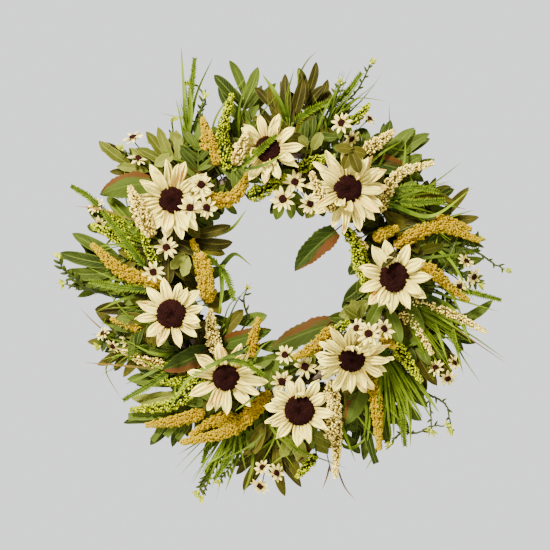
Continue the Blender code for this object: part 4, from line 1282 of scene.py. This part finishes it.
# places along each, forward, how many side leaves it has, and their size
TWIGS = (
    (((-50, -210), (-88, -252), (-112, -290)), 44, 18, 1.3),
    (((-100, 190), (-110, 214), (-104, 238)), 46, 8, 1.2),
    (((142, -176), (164, -208), (180, -212), (200, -203), (220, -202)), 46, 4, 1.0),
    (((164, -208), (154, -216), (146, -225)), 48, 4, 1.0), (((200, 40), (236, 34), (264, 46)), 46, 14, 1.7),
    (((206, 12), (240, 4), (264, -12)), 46, 12, 1.7),
    (((-40, -206), (-62, -246), (-84, -276)), 46, 16, 1.2),
    (((-200, -34), (-259, -19), (-277, -4), (-294, 9), (-298, 23)), 48, 13, 1.5),
    (((-259, -19), (-277, -16), (-292, -11)), 48, 5, 1.0),
    (((232, 40), (262, 30), (284, 15), (300, 7)), 46, 7, 1.0),
    (((180, -150), (197, -168), (200, -208)), 46, 5, 1.0),
    (((190, -158), (212, -168), (221, -178), (226, -206)), 50, 5, 1.0),
    (((74, 222), (98, 244), (111, 266), (119, 284)), 44, 7, 1.0),
    (((-127, 177), (-114, 214), (-103, 234), (-112, 252), (-124, 256)), 42, 4, 1.0),
    (((-160, 166), (-147, 190), (-148, 206)), 48, 3, 1.0),
    (((-56, -208), (-86, -246), (-107, -297)), 44, 22, 0.8),
    (((-44, -60), (-51, -36), (-47, -18)), 46, 3, 1.0),
    (((-150, 120), (-186, 150), (-214, 168)), 44, 8, 1.0), (((190, 30), (222, 44), (240, 26)), 46, 14, 1.7),
    (((206, -20), (226, -34), (232, -60)), 44, 12, 1.7),
    (((-200, -60), (-220, -80), (-244, -96)), 46, 14, 1.7), (((58, 212), (72, 240), (80, 257)), 48, 7, 1.3),
)


def fern(shape, course, random):
    """A stem with short blades close together on both sides."""
    rows = max(12, int(np.linalg.norm(course[-1] - course[0]) / 2.9))
    path = smooth_path(course, rows)
    shape.tube(path, np.linspace(1.1, 0.5, rows), 6, 0.5)
    lead(shape, course)
    tangents, side, face = transport(path, FORWARD)
    for step in range(2, rows):
        for hand in (-1, 1):
            reach = random.uniform(8.5, 10.5) * (1 - 0.5 * (step / rows) ** 2)
            sideways = side[step] * (hand + random.uniform(-0.2, 0.2))
            sideways = sideways + face[step] * random.uniform(0.15, 0.6)
            tip = path[step] + unit(tangents[step] * 0.95 + sideways) * reach
            middle = (path[step] + tip) / 2 + tangents[step] * 0.8
            blade(shape, [path[step], middle, tip], face[step], 1.25, rows=5, columns=3, swell=0.3, point=0.9,
                  fold=0.2, tint=random.uniform(0.3, 1), thickness=0.3)


def make_ferns():
    for label, random, shape, rows in sector_pieces("fern_blade", FERNS):
        for spots, near, far in rows:
            fern(shape, course_of(spots, near, far), random)
        shape.piece(label, GRASS, "green_leaf")


def make_grass(name, table, material):
    for label, random, shape, rows in sector_pieces(name, table):
        for spots, near, far, width in rows:
            course = course_of(spots, near, far)
            lean = unit(FORWARD + random.normal(0, 0.35, 3))
            blade(shape, course, lean, width, rows=26, columns=5, swell=0.25, point=0.75, fold=0.35,
                  tint=random.uniform(0.35, 1), twist=random.uniform(-1.0, 1.0), thickness=0.35)
            lead(shape, course, 0.8)
        shape.piece(label, material, "green_leaf")


# wild blades in a sixth of the ring
WILD_BLADES = 16
THIN_BLADE = {"rows": 18, "columns": 3, "swell": 0.25, "point": 0.8, "fold": 0.3, "thickness": 0.3}
# right, up and forward of the foot, the angles that the tuft spans, its shortest and longest blade, how many
# blades, and their half width
TUFTS = (
    (134, -98, 62, -104, -54, 60, 130, 38, 1.3), (150, -30, 60, -62, -18, 60, 130, 24, 1.6),
    (140, 96, 58, -30, 30, 60, 110, 8, 1.3), (-126, 168, 50, 84, 104, 70, 120, 7, 1.6),
    (60, 200, 48, 20, 78, 40, 90, 20, 1.1), (-60, -190, 50, 214, 266, 50, 108, 28, 1.3),
    (-170, -96, 50, 172, 214, 40, 90, 10, 1.0), (-176, 40, 56, 130, 190, 40, 90, 12, 1.2),
)


def make_tufts():
    for number, (right, up, forward, low, high, short, long, count, width) in enumerate(TUFTS):
        name = f"grass_tuft_{number + 1}"
        random = random_for(name)
        shape = Shape()
        foot = place(right, up, forward)
        for _ in range(count):
            turn = math.radians(random.uniform(low, high))
            ahead = np.array([math.cos(turn), 0, math.sin(turn)]) * random.uniform(short, long)
            droop = np.array([0, random.uniform(-4, 12), random.uniform(-14, 4)])
            start = foot + random.normal(0, 2.0, 3)
            course = [start, start + ahead * 0.5 + FORWARD * random.uniform(0, 8), start + ahead + droop]
            blade(shape, course, unit(FORWARD + random.normal(0, 0.4, 3)), width * random.uniform(0.7, 1.3),
                  tint=random.uniform(0, 1), **THIN_BLADE)
        lead(shape, [foot, foot + ahead], 2.2)
        shape.piece(name, GRASS, "green_leaf")


def make_wild_grass():
    """Thin blades that leave the ring at all angles."""
    random = random_for("wild_grass")
    start = RING_RADIUS + 12
    for sector in range(6):
        shape = Shape()
        for _ in range(WILD_BLADES):
            angle = sector * 60 + random.uniform(0, 60)
            length = random.uniform(50, 108)
            forward = random.uniform(34, 58)
            root = on_ring(angle, start, BUNDLE_FORWARD + 16)
            skew = random.uniform(-26, 26)
            middle = on_ring(angle + skew * 0.4, start + length * 0.55, forward + 6)
            tip = on_ring(angle + skew, start + length, forward)
            face = unit(FORWARD + random.normal(0, 0.4, 3))
            blade(shape, [root, middle, tip], face, random.uniform(1.2, 2.6),
                  tint=random.uniform(0, 0.9), **THIN_BLADE)
        shape.piece(f"wild_grass_{sector + 1}", GRASS, "green_leaf")


def twig(stems, buds, course, leaves, size, random):
    """A thin rough twig with small leaves on both sides and a bud at its tip."""
    path = smooth_path(course, 36)
    path[1:-1] += random.normal(0, 0.35, (34, 3))
    stems.tube(path, np.linspace(1.7, 1.0, 36), 6, 0.4, ridges=0.08)
    lead(stems, path, 1.3)
    tangents, side, face = transport(path, FORWARD)
    for leaf in range(leaves):
        step = int(8 + 27 * leaf / leaves)
        hand = 1 if leaf % 2 else -1
        out = unit(tangents[step] * 0.9 + side[step] * hand + face[step] * random.uniform(-0.3, 0.6))
        tip = path[step] + out * random.uniform(6, 10) * size
        middle = (path[step] + tip) / 2 + face[step]
        blade(stems, [path[step], middle, tip], face[step], 1.4 * size, rows=6, columns=3, fold=0.3,
              tint=random.uniform(0.3, 1), thickness=0.3)
    end = path[-1]
    for _ in range(6):
        out = unit(tangents[-1] * 1.1 + random.normal(0, 0.55, 3))
        tip = end + out * random.uniform(6, 12)
        middle = (end + tip) / 2 + side[-1] * random.uniform(-1, 1)
        blade(buds, [end, middle, tip], unit(FORWARD + out), 1.7, rows=7, columns=5, cup=0.6, swell=0.35,
              tint=random.uniform(0.4, 1), thickness=0.4)
    buds.beads([end, end + tangents[-1] * 2.4], [1.8, 1.5], [tangents[-1], tangents[-1]], [0.7, 0.9], [1, 1])


def make_twigs():
    for label, random, stems, rows in sector_pieces("bud_twig", TWIGS):
        buds = Shape()
        for spots, forward, leaves, size in rows:
            twig(stems, buds, course_of(spots, forward, forward + 4), leaves, size, random)
        stems.piece(label, TWIG, "stem")
        buds.piece(label + "_bud", BUD, "stem")


# ---------------------------------------------------------------- stage, light and camera

# all in metres: depth of the floor below the wreath's centre, the camera's distance from the flowers, the
# width that it sees there, how far it is to the left, and how far the flowers are in front of the hanger eye
FLOOR_DEPTH, CAMERA_DISTANCE, VIEW_WIDTH, CAMERA_LEFT, FLOWER_DEPTH = 0.56, 2.6, 0.737, 0.0094, 0.05
SENSOR_WIDTH = 36
WORLD_STRENGTH = 1.55


def aim(obj, target):
    direction = Vector(target - np.array(obj.location))
    obj.rotation_euler = direction.to_track_quat("-Z", "Y").to_euler()


def make_stage():
    floor_mesh = bpy.data.meshes.new("floor")
    floor_mesh.from_pydata([(-3, -3, 0), (3, -3, 0), (3, 0.8, 0), (-3, 0.8, 0)], [], [(0, 1, 2, 3)])
    floor = bpy.data.objects.new("floor", floor_mesh)
    floor.location = (0, 0, CENTRE[2] * MM - FLOOR_DEPTH)
    made, tree, shader = new_material("pale_floor", 0.8)
    tone = mix(tree, grain(tree, 3.0), (0.78, 0.78, 0.78), (0.82, 0.82, 0.82))
    tree.links.new(tone, shader.inputs["Base Color"])
    floor_mesh.materials.append(made)
    bpy.context.scene.collection.objects.link(floor)


def make_light(name, where, size, power):
    lamp = bpy.data.lights.new(name, "AREA")
    lamp.size = size
    lamp.energy = power
    obj = bpy.data.objects.new(name, lamp)
    obj.location = where
    bpy.context.scene.collection.objects.link(obj)
    aim(obj, CENTRE * MM)


def make_camera():
    camera = bpy.data.cameras.new("camera")
    obj = bpy.data.objects.new("camera", camera)
    camera.sensor_width = SENSOR_WIDTH
    camera.lens = SENSOR_WIDTH * CAMERA_DISTANCE / VIEW_WIDTH
    obj.location = CENTRE * MM + np.array([-CAMERA_LEFT, -CAMERA_DISTANCE - FLOWER_DEPTH, 0])
    obj.rotation_euler = (math.radians(90), 0, 0)
    bpy.context.scene.collection.objects.link(obj)
    bpy.context.scene.camera = obj


def make_world():
    world = bpy.data.worlds.new("studio")
    bpy.context.scene.world = world
    world.use_nodes = True
    background = world.node_tree.nodes["Background"]
    set_value(background.inputs["Color"], (0.90, 0.91, 0.93))
    set_value(background.inputs["Strength"], WORLD_STRENGTH)


make_camera()
make_world()
make_stage()
make_light("key", (-1.1, -1.7, 1.3), 0.5, 560)
make_light("fill", (1.3, -1.6, 0.2), 1.6, 8)
make_vines()
make_ties()
make_hanger()
for number in SUNFLOWER_LOOKS:
    make_sunflower(number)
for name in DAISY_SPRAYS:
    make_daisies(name)
make_spikes()
make_leaf_sprays()
make_leaves("broad_leaf", BROAD_LEAVES, BLUSHED, "green_leaf", rows=26, columns=9, swell=0.42, point=0.85,
            teeth=11, bite=0.16, ruffle=1.8, bow=0.05)
make_leaves("olive_leaf", OLIVE_LEAVES, OLIVE, "olive_leaf")
make_leaves("light_leaf", LIGHT_LEAVES, LIGHT, "olive_leaf", teeth=3, bite=0.2)
make_leaves("green_leaf", GREEN_LEAVES, GREEN, "green_leaf")
make_leaves("blunt_leaf", BLUNT_LEAVES, GREEN, "green_leaf", floor=0.8)
# the under filler's near-black leaves are painted shade between the vine and the flowers
make_filler("under_filler", SHADE_LEAF, "olive_leaf", 84, 0.5, (12, 34), (18, 56), 6.4)
make_filler("green_filler", GREEN, "green_leaf", 44, 0.25, (34, 66), (30, 52), 6.2)
make_filler("olive_filler", OLIVE, "olive_leaf", 44, 0.25, (34, 66), (26, 48), 6.0)
make_ferns()
make_grass("grass_blade", GRASSES, GRASS)
make_grass("straw_blade", STRAWS, STRAW)
make_tufts()
make_wild_grass()
make_twigs()
